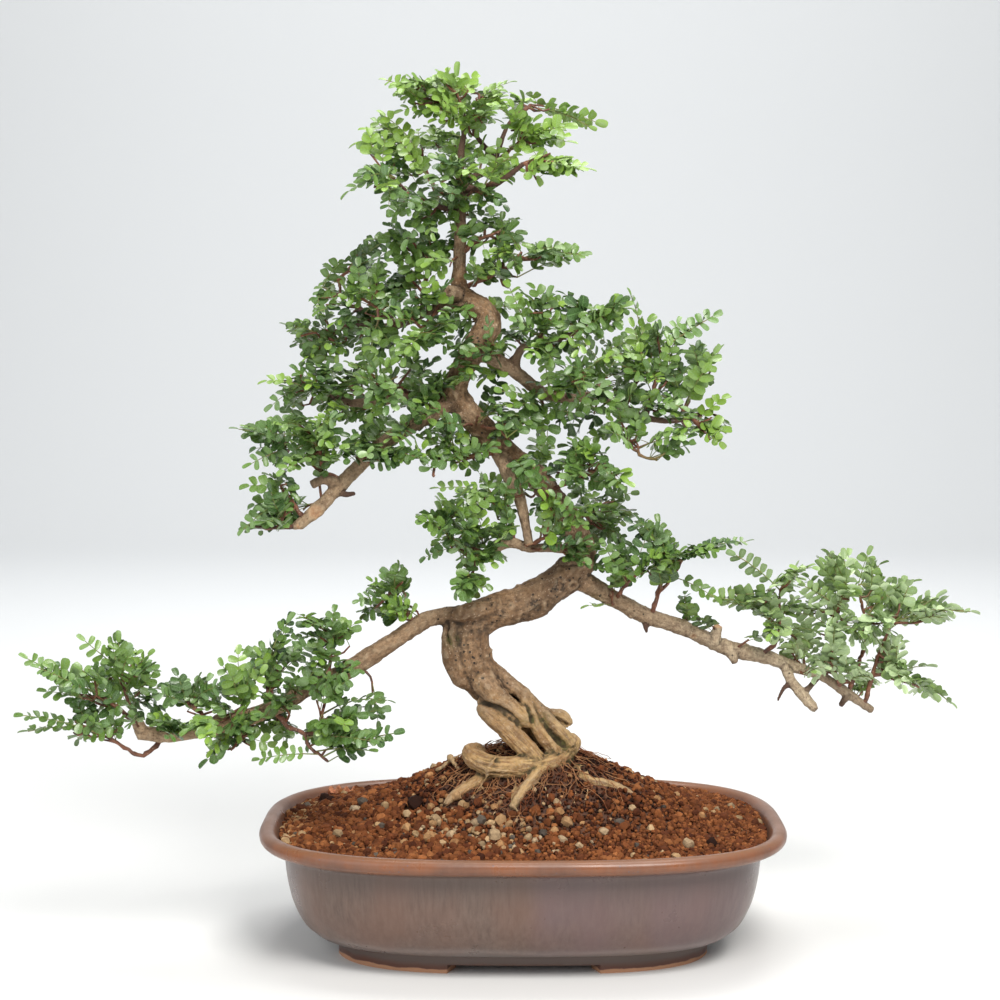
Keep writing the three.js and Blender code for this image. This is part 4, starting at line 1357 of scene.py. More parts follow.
class Sprig(Gathering):
    """The woody shoots and compound leaves of one piece."""

    CLEARANCE = 2.0
    BACK_STARTS = 30.0
    SWOLLEN_FROM = 165.0
    SWELL = 1.12
    NEW_LEAVES = 0.12

    def __init__(self, shapes: LeafShapes, skeleton: Skeleton, seed: int) -> None:
        """Starts it.

        Args:
            shapes: the leaves to copy.
            skeleton: the wood that they keep clear of.
            seed: starts its small chances.
        """
        super().__init__()
        self.shapes, self.skeleton = shapes, skeleton
        self.chances = np.random.default_rng(seed)

    def add_bark(self, rods: list[Rod], roundness: int, root: Array, far: float) -> None:
        """Adds woody shoots, whose looks go from 0 at the root to 1 at the far end.

        Args:
            rods: the shoots.
            roundness: as in model_rods.
            root: where they start.
            far: the distance from there to the far end.
        """
        bark = Shape.taken_from(model_rods("twig_bark", rods, roundness), 2)
        corners = bark.corners / MM
        bark.looks[:, 0] = ease(distances(corners, root) / far)
        self.add(corners, bark.faces, bark.looks, bark.kinds)

    def fits(self, base: Array, tip: Array) -> bool:
        """Tells whether a leaf clears the wood and keeps inside the foliage's outlines."""
        places = [base + (tip - base) * share for share in (0.4, 0.7, 1.0)]
        return all(in_outline(place) and self.skeleton.clear_of(place) > self.CLEARANCE for place in places)

    def add_leaf(self, base: Array, tip: Array, youth: float) -> None:
        """Copies a leaf from its base to its tip, arched and turned to the light.

        Args:
            base: where the leaf's stalk starts.
            tip: where the leaf ends.
            youth: how young the leaf looks, up to 1.
        """
        chances = self.chances
        length = float(np.linalg.norm(tip - base))
        along = (tip - base) / length
        roll = chances.uniform(0.0, 1.25)
        hand = Hand.FRONT if base[1] < self.BACK_STARTS else Hand.BACK
        face = np.array([chances.normal(0.0, 0.25), hand.value * math.sin(roll), math.cos(roll)])
        face -= along * face.dot(along)
        face /= np.linalg.norm(face)
        shape = self.shapes.fitting(length, self.SWELL if base[0] > self.SWOLLEN_FROM else 1.0, chances)
        share, across, up = shape.corners.T
        arch, bend = chances.uniform(0.05, 0.14), chances.uniform(-0.05, 0.05)
        rise = 4.0 * arch * share * (1.0 - share)
        slope = 4.0 * arch * (1.0 - 2.0 * share)
        sway = 4.0 * bend * share * (1.0 - share)
        amounts = (length * (share - up * slope), length * (across + sway), length * (rise + up))
        looks = shape.looks.copy()
        age = float(ease(youth + chances.normal(0.0, 0.14)))
        if chances.random() < self.NEW_LEAVES:
            age = chances.uniform(0.65, 1.0)
        tone = chances.normal(0.0, 0.26)
        looks[:, 0] = np.where(looks[:, 1] > 0, age, 0.5)
        looks[:, 1] = ease(looks[:, 1] + tone)
        self.add(laid(base, amounts, (along, np.cross(face, along), face)), shape.faces, looks, shape.kinds)


@dataclass(frozen=True)
class TwigReading:
    """A leafy twig as it was read: its branches and leaves, how many more it has and how young they look.

    A leaf is its tip's place, then its share along the branch and the branch's number. A leaf at the end of
    the first branch leaves these out.
    """

    wood: list[list[Reading]]
    leaves: list[tuple[float, ...]]
    extra: int = 8
    age: float = 0.25


@dataclass
class LeafyTwig:
    """A woody shoot with its compound leaves, in the space of one node."""

    name: str
    reading: TwigReading
    seed: int
    spurs: int = 4
    thick: float = 1.8
    thin: float = 0.85
    swollen: float = 1.25
    shortest: float = 24.0
    longest: float = 56.0
    usual: float = 38.0
    tries: int = 40
    spur_lengths: tuple[float, float] = (7.0, 17.0)

    def build(self, shapes: LeafShapes, skeleton: Skeleton, finishes: list[Material]) -> None:
        """Models the twig and hands it over.

        Args:
            shapes: the leaves to copy.
            skeleton: the wood that the leaves keep clear of.
            finishes: leaflet, stalk and twig bark, in that order.
        """
        sprig = Sprig(shapes, skeleton, self.seed)
        age = self.reading.age
        curves = [smooth(seen_all(branch), 1.0) for branch in self.reading.wood]
        tips = seen_all(leaf[:3] for leaf in self.reading.leaves)
        rods = [self._branch(curve, order == 0, sprig.chances) for order, curve in enumerate(curves)]
        spurs = [self._spur(curves, tips, sprig.chances) for _ in range(self.spurs)]
        root = curves[0][0]
        sprig.add_bark(rods + spurs, 1, root, max(distances(tips, root)))
        for tip, leaf in zip(tips, self.reading.leaves):
            share, branch = (*leaf[3:], *(1, 0)[len(leaf) - 3 :])
            sprig.add_leaf(self._at(curves[branch], share), tip, age)
        bases = [self._at(curve, share) for curve in curves for share in (0.35, 0.55, 0.75, 0.9, 1.0)]
        bases += [spur.points[-1] for spur in spurs for _ in range(3)]
        for _ in range(self.reading.extra):
            self._extra_leaf(sprig, np.array(bases), tips)
        thing = sprig.as_object(f"leafy_twig_{self.name}", "leaf_look")
        settle(thing, 60.0, "leaf_young" if age > 0.45 else "leaf_mature", [f"twig_{self.name}"], *finishes)

    @staticmethod
    def _at(curve: Array, share: float) -> Array:
        """Gives the place at a share along a curve."""
        return curve[round(share * (len(curve) - 1))]

    def _branch(self, curve: Array, is_main: bool, chances: Chances) -> Rod:
        """Makes a branch's rod: slightly crooked, and swollen at its nodes.

        Args:
            curve: the branch's path.
            is_main: whether the others grow from it.
            chances: the source of its small chances.

        Returns:
            The rod.
        """
        points = curve[::3]
        if len(points) < 3:
            points = curve[:: max(1, len(curve) // 3)]
        points = np.vstack([points, curve[-1:]])
        points[1:-1] += chances.normal(0.0, 0.35, points[1:-1].shape)
        start = self.thick if is_main else 0.5 * (self.thick + self.thin)
        radii = np.linspace(start, self.thin, len(points))
        radii[2::3] *= self.swollen
        return Rod(points, radii)

    def _spur(self, curves: list[Array], tips: Array, chances: Chances) -> Rod:
        """Makes a short side shoot that points at one of the twig's leaves.

        Args:
            curves: the branches' paths.
            tips: where the leaves end.
            chances: the source of its small chances.

        Returns:
            The rod.
        """
        curve = curves[chances.integers(len(curves))]
        root = curve[int(chances.uniform(0.35, 0.95) * (len(curve) - 1))]
        way = tips[chances.integers(len(tips))] - root + chances.normal(0.0, 12.0, 3)
        way /= np.linalg.norm(way)
        length = chances.uniform(*self.spur_lengths)
        bend = chances.normal(0.0, 0.12, 3) * length
        points = np.array([root, root + way * length * 0.55 + bend, root + way * length])
        return Rod(points, np.array([0.95, 0.8, 0.65]))

    def _extra_leaf(self, sprig: Sprig, bases: Array, tips: Array) -> None:
        """Adds a leaf between the ones that were read, where it clears the wood.

        Args:
            sprig: what the leaf is added to.
            bases: where it may start.
            tips: where the read leaves end.
        """
        chances = sprig.chances
        for _ in range(self.tries):
            first, second = tips[chances.integers(len(tips), size=2)]
            shares = chances.dirichlet((1.0, 1.0, 0.9))
            tip = shares @ np.array([first, second, bases[chances.integers(len(bases))]])
            tip = tip + chances.normal(0.0, 1.0, 3) * (5.0, 12.0, 5.0)
            lengths = distances(bases, tip)
            good = np.flatnonzero((lengths > 22.0) & (lengths < self.longest))
            base = bases[chances.choice(good) if len(good) else np.argmin(np.abs(lengths - self.usual))]
            length = float(np.linalg.norm(tip - base))
            if length < 1.0:
                continue
            tip = base + (tip - base) * float(ease(length, self.shortest, self.longest)) / length
            if sprig.fits(base, tip):
                sprig.add_leaf(base, tip, self.reading.age)
                return


@dataclass
class FillingShoots:
    """Short leafy side shoots that fill the pads between the larger twigs."""

    leaves: int = 5
    tries: int = 6
    reach: float = 0.6
    length: float = 28.0
    shortest: float = 16.0
    longest: float = 40.0
    young: float = 0.6
    mature: float = 0.2
    seed: int = 500

    def build(self, shapes: LeafShapes, skeleton: Skeleton, finishes: list[Material]) -> None:
        """Models the shoots, one piece for each part of the tree.

        Args:
            shapes: the leaves to copy.
            skeleton: the wood that the leaves keep clear of.
            finishes: leaflet, stalk and twig bark, in that order.
        """
        branches = [branch for reading in TWIGS.values() for branch in reading.wood]
        branches += [[point[:3] for point in LIMBS[name]] for name in STEMS_WITH_SHOOTS]
        stems = np.vstack([smooth(seen_all(branch), 4.0) for branch in branches])
        parts: dict[str, list[Array]] = {}
        for row in FILLING:
            parts.setdefault(self._part(*row[:2]), []).append(row)
        for number, (part, rows) in enumerate(parts.items()):
            sprig = Sprig(shapes, skeleton, self.seed + number)
            for row in rows:
                self._shoot(sprig, row, stems)
            thing = sprig.as_object(f"filling_shoots_{part}", "leaf_look")
            settle(thing, 60.0, "leaf_mature", [], *finishes)

    @staticmethod
    def _part(across: float, height: float) -> str:
        """Names the part of the tree that a shoot's tip is in.

        Args:
            across: where the tip shows across.
            height: where it shows in height.

        Returns:
            The name.
        """
        if height > 490.0:
            return "crown"
        if height > 330.0:
            return "upper_left" if across < -20.0 else "upper_right"
        if across < -90.0:
            return "left" if height < 270.0 else "upper_left"
        return "right" if across > 75.0 else "middle"

    def _shoot(self, sprig: Sprig, row: Reading, stems: Array) -> None:
        """Models one shoot, which starts on the stem that is about a leaf away, and its leaves.

        Args:
            sprig: what the shoot is added to.
            row: where its longest leaf ends.
            stems: the places where a shoot may start.
        """
        chances, tip = sprig.chances, seen(row)
        base = stems[int(np.argmin(np.abs(distances(stems, tip) - self.length)))]
        length = float(np.linalg.norm(tip - base))
        stem = base + (tip - base) * self.reach
        middle = (base + stem) / 2 + chances.normal(0.0, 0.08, 3) * length
        path, radii = smooth_path(np.array([base, middle, stem]), np.array([1.2, 0.95, 0.7]), 4.0)
        spans = []
        for order in range(self.leaves * self.tries):
            end = tip if order == 0 else tip + chances.normal(0.0, 1.0, 3) * (9.0, 12.0, 8.0)
            start = path[int(chances.uniform(0.35, 1.0) * (len(path) - 1))]
            way = end - start
            reach = max(float(np.linalg.norm(way)), 1.0)
            end = start + way * float(ease(reach, self.shortest, self.longest)) / reach
            if len(spans) < self.leaves and sprig.fits(start, end):
                spans.append((start, end))
        if spans:
            sprig.add_bark([Rod(path, radii)], 0, base, length)
        # Shoots at the top of the crown and at the far right take young leaves; at the far right their lighter
        # yellow-green also paints in the stronger light there.
        is_young_or_lit = row[1] > 560.0 or row[0] > 180.0
        for start, end in spans:
            sprig.add_leaf(start, end, self.young if is_young_or_lit else self.mature)


# Outlines of the foliage pads and their gaps, as across and height from the front. A separate program
# traced all but the last four off the photo. Those four are by eye.
OUTLINES: list[Array] = [
    np.array([-55, 641, -32, 634, -28, 617, -10, 624, 9, 618, 12, 605, 52, 601, 51, 591, 19, 575, 32, 565,
    49, 566, 49, 559, 7, 561, -2, 554, -16, 556, -21, 552, -19, 544, -1, 529, -1, 513, 13, 496, -12, 497,
    -8, 485, -19, 481, -40, 485, -42, 505, -57, 501, -57, 493, -48, 488, -50, 476, -37, 460, -40, 436, -31, 436,
    -19, 447, -21, 468, 4, 482, 33, 480, 50, 467, 68, 467, 75, 478, 85, 464, 102, 457, 140, 465, 141, 457,
    129, 446, 144, 441, 138, 420, 147, 402, 132, 392, 149, 380, 148, 366, 119, 365, 101, 358, 98, 367, 106, 380,
    95, 382, 90, 381, 90, 367, 58, 371, 63, 362, 58, 349, 85, 338, 84, 329, 67, 332, 66, 323, 90, 313, 102, 314,
    121, 289, 161, 301, 165, 297, 164, 284, 200, 275, 223, 292, 251, 290, 264, 283, 266, 273, 287, 270,
    288, 256, 308, 261, 304, 248, 326, 248, 329, 240, 313, 234, 283, 235, 277, 206, 291, 190, 306, 187,
    311, 175, 264, 188, 248, 182, 231, 191, 215, 190, 205, 208, 170, 222, 188, 234, 136, 250, 136, 260,
    180, 254, 151, 284, 115, 281, 100, 267, 65, 265, 40, 274, 31, 288, 19, 289, 3, 308, 7, 330, -4, 340,
    -6, 352, 10, 363, 8, 375, -28, 349, -25, 343, -5, 339, -1, 311, -8, 297, -5, 284, -39, 264, -26, 263,
    -38, 249, -49, 253, -49, 273, -43, 283, -71, 280, -61, 291, -80, 311, -78, 319, -63, 322, -64, 331,
    -46, 327, -44, 355, -76, 348, -135, 345, -161, 352, -172, 343, -159, 326, -168, 308, -192, 297, -206, 298,
    -206, 307, -196, 313, -202, 335, -185, 352, -191, 355, -192, 365, -209, 373, -210, 378, -187, 386,
    -185, 399, -161, 428, -178, 452, -156, 462, -143, 480, -138, 502, -116, 503, -110, 508, -112, 521, -97, 529,
    -103, 547, -126, 549, -120, 564, -93, 569, -115, 581, -119, 594, -101, 607, -79, 606, -97, 619, -96, 634,
    -70, 631]).reshape(-1, 2),
    np.array([-142, 249, -134, 248, -121, 235, -124, 225, -142, 217, -135, 203, -117, 201, -129, 185, -127, 174,
    -107, 179, -94, 174, -96, 168, -113, 163, -91, 157, -111, 136, -161, 139, -169, 133, -186, 133, -185, 144,
    -197, 153, -200, 145, -208, 145, -234, 129, -236, 137, -230, 148, -244, 151, -264, 145, -278, 162,
    -313, 154, -327, 142, -352, 149, -327, 151, -324, 162, -351, 182, -352, 192, -367, 203, -367, 212,
    -346, 208, -330, 196, -319, 220, -296, 229, -287, 218, -274, 217, -259, 200, -239, 197, -212, 219,
    -178, 228, -167, 245, -152, 238]).reshape(-1, 2),
    np.array([-95, 282, -87, 279, -85, 270, -92, 255, -88, 250, -79, 255, -78, 250, -86, 248, -89, 232,
    -104, 231, -118, 237, -119, 259, -112, 269, -102, 267]).reshape(-1, 2),
    np.array([-161, 188, -166, 185, -163, 172, -176, 168, -156, 151, -139, 177]).reshape(-1, 2),
    np.array([-6, 436, -14, 430, -15, 411, 11, 410]).reshape(-1, 2),
    np.array([-205, 179, -219, 168, -249, 171, -249, 166, -246, 161, -218, 157, -196, 174]).reshape(-1, 2),
    np.array([112, 260, 138, 261, 136, 232, 115, 234]).reshape(-1, 2),
    np.array([-11, 510, 53, 508, 56, 494, -8, 488]).reshape(-1, 2),
    np.array([-62, 404, -44, 410, -32, 398, -19, 370, -32, 364, -47, 377, -60, 389]).reshape(-1, 2),
    np.array([-50, 471, -38, 477, -16, 463, -15, 446, -29, 433, -44, 432, -38, 447, -32, 457]).reshape(-1, 2),
]

# Limbs and roots, read off the front, with their radius. A separate program turned the readings into
# millimetres.
LIMBS: dict[str, list[tuple[float, float, float, float]]] = {
    "trunk": [(12, 116, 8, 8), (6, 140, 9, 9.5), (-6, 163, 9, 11.5), (-17, 180, 6, 13.5), (-29, 194, 3, 15.5),
    (-38, 207, 1, 15.5), (-40, 223, 1, 14.5), (-37, 236, 1, 14.5), (-20, 245, 2, 13), (-2, 249, 4, 12.5),
    (16, 259, 6, 13), (32, 270, 8, 12.5), (43, 284, 9, 10.5), (37, 304, 10, 9.5), (22, 328, 10, 9),
    (4, 348, 8, 9.5), (-17, 365, 4, 9.5), (-37, 386, 0, 9.5), (-49, 402, -4, 10), (-44, 421, -8, 8.5),
    (-33, 439, -10, 9.5), (-25, 452, -10, 10), (-28, 462, -8, 9), (-39, 470, -4, 8), (-46, 480, 0, 6.5),
    (-46, 496, 0, 5), (-45, 521, 0, 4.3), (-45, 550, 0, 4), (-45, 573, 0, 3), (-41, 599, 0, 1.8)],
    "middle_knob": [(-45, 474, -3, 6), (-50, 476, -10, 5.4), (-54, 477, -16, 4.8)],
    "trunk_left_ridge": [(-43, 243, -2, 4), (-49, 237, -5, 5.5), (-53, 229, -7, 6.6), (-53, 218, -8, 7.4),
    (-50, 207, -7, 8.4), (-44, 196, -5, 8.4), (-35, 189, -1, 6)],
    "trunk_lump_under": [(-14, 245, 4, 5), (-4, 246, 5, 9.2), (6, 247, 5, 10.4), (13, 250, 5, 10),
    (22, 258, 6, 6)],
    "trunk_lump_front": [(-52, 241, -6, 4), (-45, 242, -9, 7), (-36, 245, -10, 8.4), (-27, 246, -6, 6.5),
    (-18, 246, 0, 4)],
    "lower_left": [(-36, 241, 0, 9), (-53, 241, -4, 7.5), (-68, 239, -8, 6), (-82, 231, -12, 6.3),
    (-97, 221, -18, 6.6), (-112, 211, -24, 6.8), (-130, 200, -30, 6.6), (-156, 188, -37, 5.8),
    (-178, 175, -42, 6), (-196, 168, -46, 6.2), (-215, 162, -50, 7), (-237, 157, -54, 6), (-259, 153, -58, 5.2),
    (-283, 154, -60, 5)],
    "lower_left_knob": [(-279, 154, -60, 4.6), (-283, 162, -61, 4.2), (-285, 167, -62, 3.6)],
    "lower_right": [(37, 271, 8, 8), (57, 259, 13, 6.6), (73, 250, 18, 6.4), (93, 240, 23, 6.2),
    (115, 233, 29, 6), (130, 226, 33, 5.8), (146, 219, 38, 6), (163, 214, 43, 5.8), (178, 211, 47, 5.6),
    (192, 206, 51, 5.2), (207, 201, 55, 4.4), (220, 196, 58, 3.8), (231, 189, 61, 3.8), (242, 181, 64, 3.6),
    (257, 171, 68, 3.2)],
    "lower_right_stub": [(192, 206, 50, 4), (195, 197, 46, 4), (201, 188, 41, 4), (207, 181, 38, 4.6),
    (213, 174, 36, 3.9), (216, 171, 35, 2.4)],
    "right_nub": [(140, 222, 34, 5), (142, 229, 33, 4.4), (143, 234, 32, 3.8)],
    "right_knob_under": [(150, 218, 38, 5.4), (154, 211, 36, 3.8), (156, 206, 35, 2.6)],
    "right_sliver": [(88, 240, 22, 2.6), (90, 233, 20, 2), (91, 228, 19, 1.2)],
    "right_fork_twig": [(198, 191, 43, 2.6), (192, 188, 42, 1.8), (187, 178, 41, 1.3)],
    "right_fork_spur": [(206, 184, 39, 3), (212, 190, 40, 2.2), (217, 195, 41, 1.6)],
    "right_end_spur": [(238, 182, 62, 3), (233, 174, 60, 2)],
    "left_spur": [(-137, 333, -35, 3), (-129, 330, -36, 2.1), (-122, 331, -37, 1.6)],
    "middle_left": [(45, 281, 8, 5), (33, 289, 2, 3.6), (20, 291, -4, 3.4), (5, 291, -9, 3.6),
    (-8, 295, -14, 4.2), (-19, 292, -18, 4), (-29, 283, -22, 3)],
    "middle_stub": [(-19, 361, 2, 5.5), (-9, 341, -10, 5.2), (-2, 326, -14, 4.6), (2, 308, -17, 3.8),
    (5, 293, -20, 3.4)],
    "left": [(-49, 399, -4, 7), (-64, 390, -10, 6), (-83, 379, -16, 5.6), (-104, 365, -22, 5.6),
    (-121, 349, -28, 5.2), (-135, 335, -34, 5), (-149, 320, -40, 4.8), (-164, 307, -46, 4)],
    "left_stub": [(-133, 337, -34, 4), (-144, 341, -38, 3.6), (-154, 337, -42, 3.4)],
    "left_end": [(-160, 308, -45, 2.4), (-173, 306, -48, 1.6), (-190, 306, -50, 1.2), (-206, 309, -52, 1)],
    "left_high": [(-49, 405, -4, 6), (-67, 405, 4, 4.6), (-86, 402, 12, 4.2), (-105, 398, 20, 4),
    (-126, 397, 26, 3.2), (-144, 405, 30, 2.4)],
    "upper_left": [(-33, 465, -8, 5), (-49, 468, -4, 3.8), (-64, 465, 4, 3.6), (-80, 458, 14, 3.4),
    (-95, 452, 24, 3.4), (-111, 451, 32, 2.8), (-125, 454, 38, 2)],
    "upper_right": [(-38, 434, -10, 6), (-24, 430, -12, 5.4), (-11, 423, -10, 5), (1, 414, -6, 5),
    (16, 403, 0, 4.8), (34, 400, 6, 4), (55, 402, 12, 3.6), (71, 395, 16, 3.4), (89, 386, 20, 2.8),
    (111, 384, 24, 2.2), (129, 389, 26, 1.8), (137, 392, 26, 1.6)],
    "upper_right_front": [(-6, 418, -8, 4), (-4, 431, -10, 3.2), (4, 439, -14, 2.8), (20, 441, -20, 2.4),
    (34, 446, -26, 2), (41, 451, -30, 1.6)],
    "crown_right_low": [(-45, 551, 0, 3.4), (-31, 551, -8, 2.8), (-17, 556, -16, 2.4), (1, 569, -26, 1.8)],
    "crown_right_mid": [(-45, 553, 0, 3.4), (-32, 561, 6, 2.8), (-19, 568, 12, 2.4), (-27, 580, 10, 2),
    (-35, 590, 8, 1.7)],
    "crown_right_high": [(-21, 567, 12, 2.2), (-17, 580, 20, 2), (-11, 596, 26, 1.8), (1, 608, 32, 1.6)],
    "crown_left_low": [(-46, 534, 0, 2.6), (-67, 540, -8, 1.8), (-80, 546, -14, 1.6), (-91, 556, -19, 1.4)],
    "crown_left_high": [(-45, 531, 0, 3), (-56, 537, 7, 2.6), (-61, 543, 10, 2)],
    "root_bulge": [(-36, 200, -2, 7), (-29, 193, -7, 9.4), (-22, 184, -11, 8.6), (-14, 177, -14, 7.8),
    (-7, 171, -16, 7), (0, 165, -17, 6), (5, 161, -16, 4)],
    "root_front": [(-31, 178, -6, 4.5), (-27, 171, -12, 6.8), (-20, 164, -17, 7.6), (-13, 158, -20, 7.8),
    (-4, 149, -22, 7.6), (4, 141, -22, 7.4), (12, 132, -20, 7.2), (20, 120, -14, 6)],
    "root_ridge": [(-30, 207, 4, 6), (-20, 198, 1, 7.4), (-12, 192, -2, 6.4), (-4, 187, -5, 5.4),
    (3, 181, -8, 4.8), (8, 176, -10, 4.4), (15, 169, -12, 4.4), (23, 161, -13, 4.6), (30, 154, -12, 4.6),
    (36, 146, -8, 4.6)],
    "root_middle": [(1, 181, -9, 3.6), (4, 173, -13, 4.4), (9, 162, -15, 5.2), (16, 151, -15, 5.6),
    (23, 142, -13, 5.8), (32, 130, -8, 6)],
    "root_side": [(8, 174, -4, 5), (14, 167, -7, 5), (21, 158, -9, 4.8), (28, 151, -8, 4.8), (35, 142, -5, 5)],
    "root_back": [(-8, 187, 10, 8), (4, 175, 12, 8), (20, 158, 14, 8), (31, 144, 15, 8), (38, 124, 16, 7)],
    "root_back_left": [(-22, 180, 10, 8), (-12, 162, 14, 8), (-4, 146, 18, 7.5), (0, 128, 22, 7)],
    "root_knob": [(-2, 184, 2, 6), (5, 179, -1, 5.2), (12, 173, -2, 4.6), (19, 169, -2, 4.4),
    (26, 168, -2, 4.6), (31, 165, -1, 5), (33, 160, 1, 4.6)],
    "root_loop": [(37, 149, 8, 7), (31, 139, -6, 7.6), (15, 131, -20, 8.2), (-6, 129, -28, 8.4),
    (-22, 130, -30, 8.4), (-33, 134, -24, 8), (-38, 139, -12, 7), (-32, 140, 0, 6), (-24, 128, 8, 5)],
    "root_low_front": [(27, 136, -10, 5.6), (13, 128, -25, 5), (7, 119, -35, 4.4), (1, 113, -42, 4),
    (-3, 107, -48, 4), (-8, 98, -57, 3)],
    "root_right": [(34, 132, 0, 5.4), (41, 122, -18, 4.4), (50, 118, -24, 4), (59, 117, -23, 4),
    (66, 115, -21, 3.8), (74, 112, -20, 3.4), (83, 107, -21, 2)],
    "root_left": [(-22, 126, -26, 4.6), (-36, 117, -29, 5), (-44, 112, -33, 4.8), (-51, 107, -38, 3.8),
    (-57, 101, -44, 2.4)],
}

# Slim roots that stand out of the earth, with their radius
FINE_ROOTS: list[tuple[list[Reading], float]] = [
    ([(-16, 140, -36), (-22, 134, -38), (-25, 127, -38), (-27, 121, -36), (-33, 112, -40),
    (-41, 102, -46)], 1.2),
    ([(-5, 122, -38), (-5, 117, -40), (-7, 111, -44), (-8, 105, -50), (-5, 99, -57), (-2, 92, -65)], 1.02),
    ([(36, 133, -14), (42, 131, -16), (47, 129, -18), (49, 122, -26), (48, 112, -37), (45, 100, -52)], 1.08),
    ([(40, 113, -40), (38, 104, -49), (37, 96, -58), (32, 87, -68), (27, 79, -79)], 0.84),
    ([(8, 118, -36), (13, 117, -38), (17, 113, -42), (19, 106, -49)], 0.96),
    ([(32, 131, -10), (38, 130, -14), (43, 127, -19), (50, 122, -25)], 0.84),
    ([(-54, 138, 4), (-51, 133, -2), (-47, 127, -10)], 2.28),
    ([(-64, 126, 0), (-52, 134, 4), (-38, 144, 6)], 1.56),
    ([(-23, 90, -65), (-20, 96, -60), (-17, 99, -58), (-12, 94, -63), (-8, 89, -69)], 0.96),
    ([(-70, 112, -16), (-58, 118, -22), (-44, 119, -30), (-34, 117, -34)], 0.84),
]

# Limbs that filling shoots may start on
STEMS_WITH_SHOOTS = (
    "lower_left", "lower_right", "middle_left", "left", "left_end", "left_high", "upper_left", "upper_right",
    "upper_right_front", "crown_right_low", "crown_right_mid", "crown_right_high", "crown_left_low",
    "crown_left_high",
)
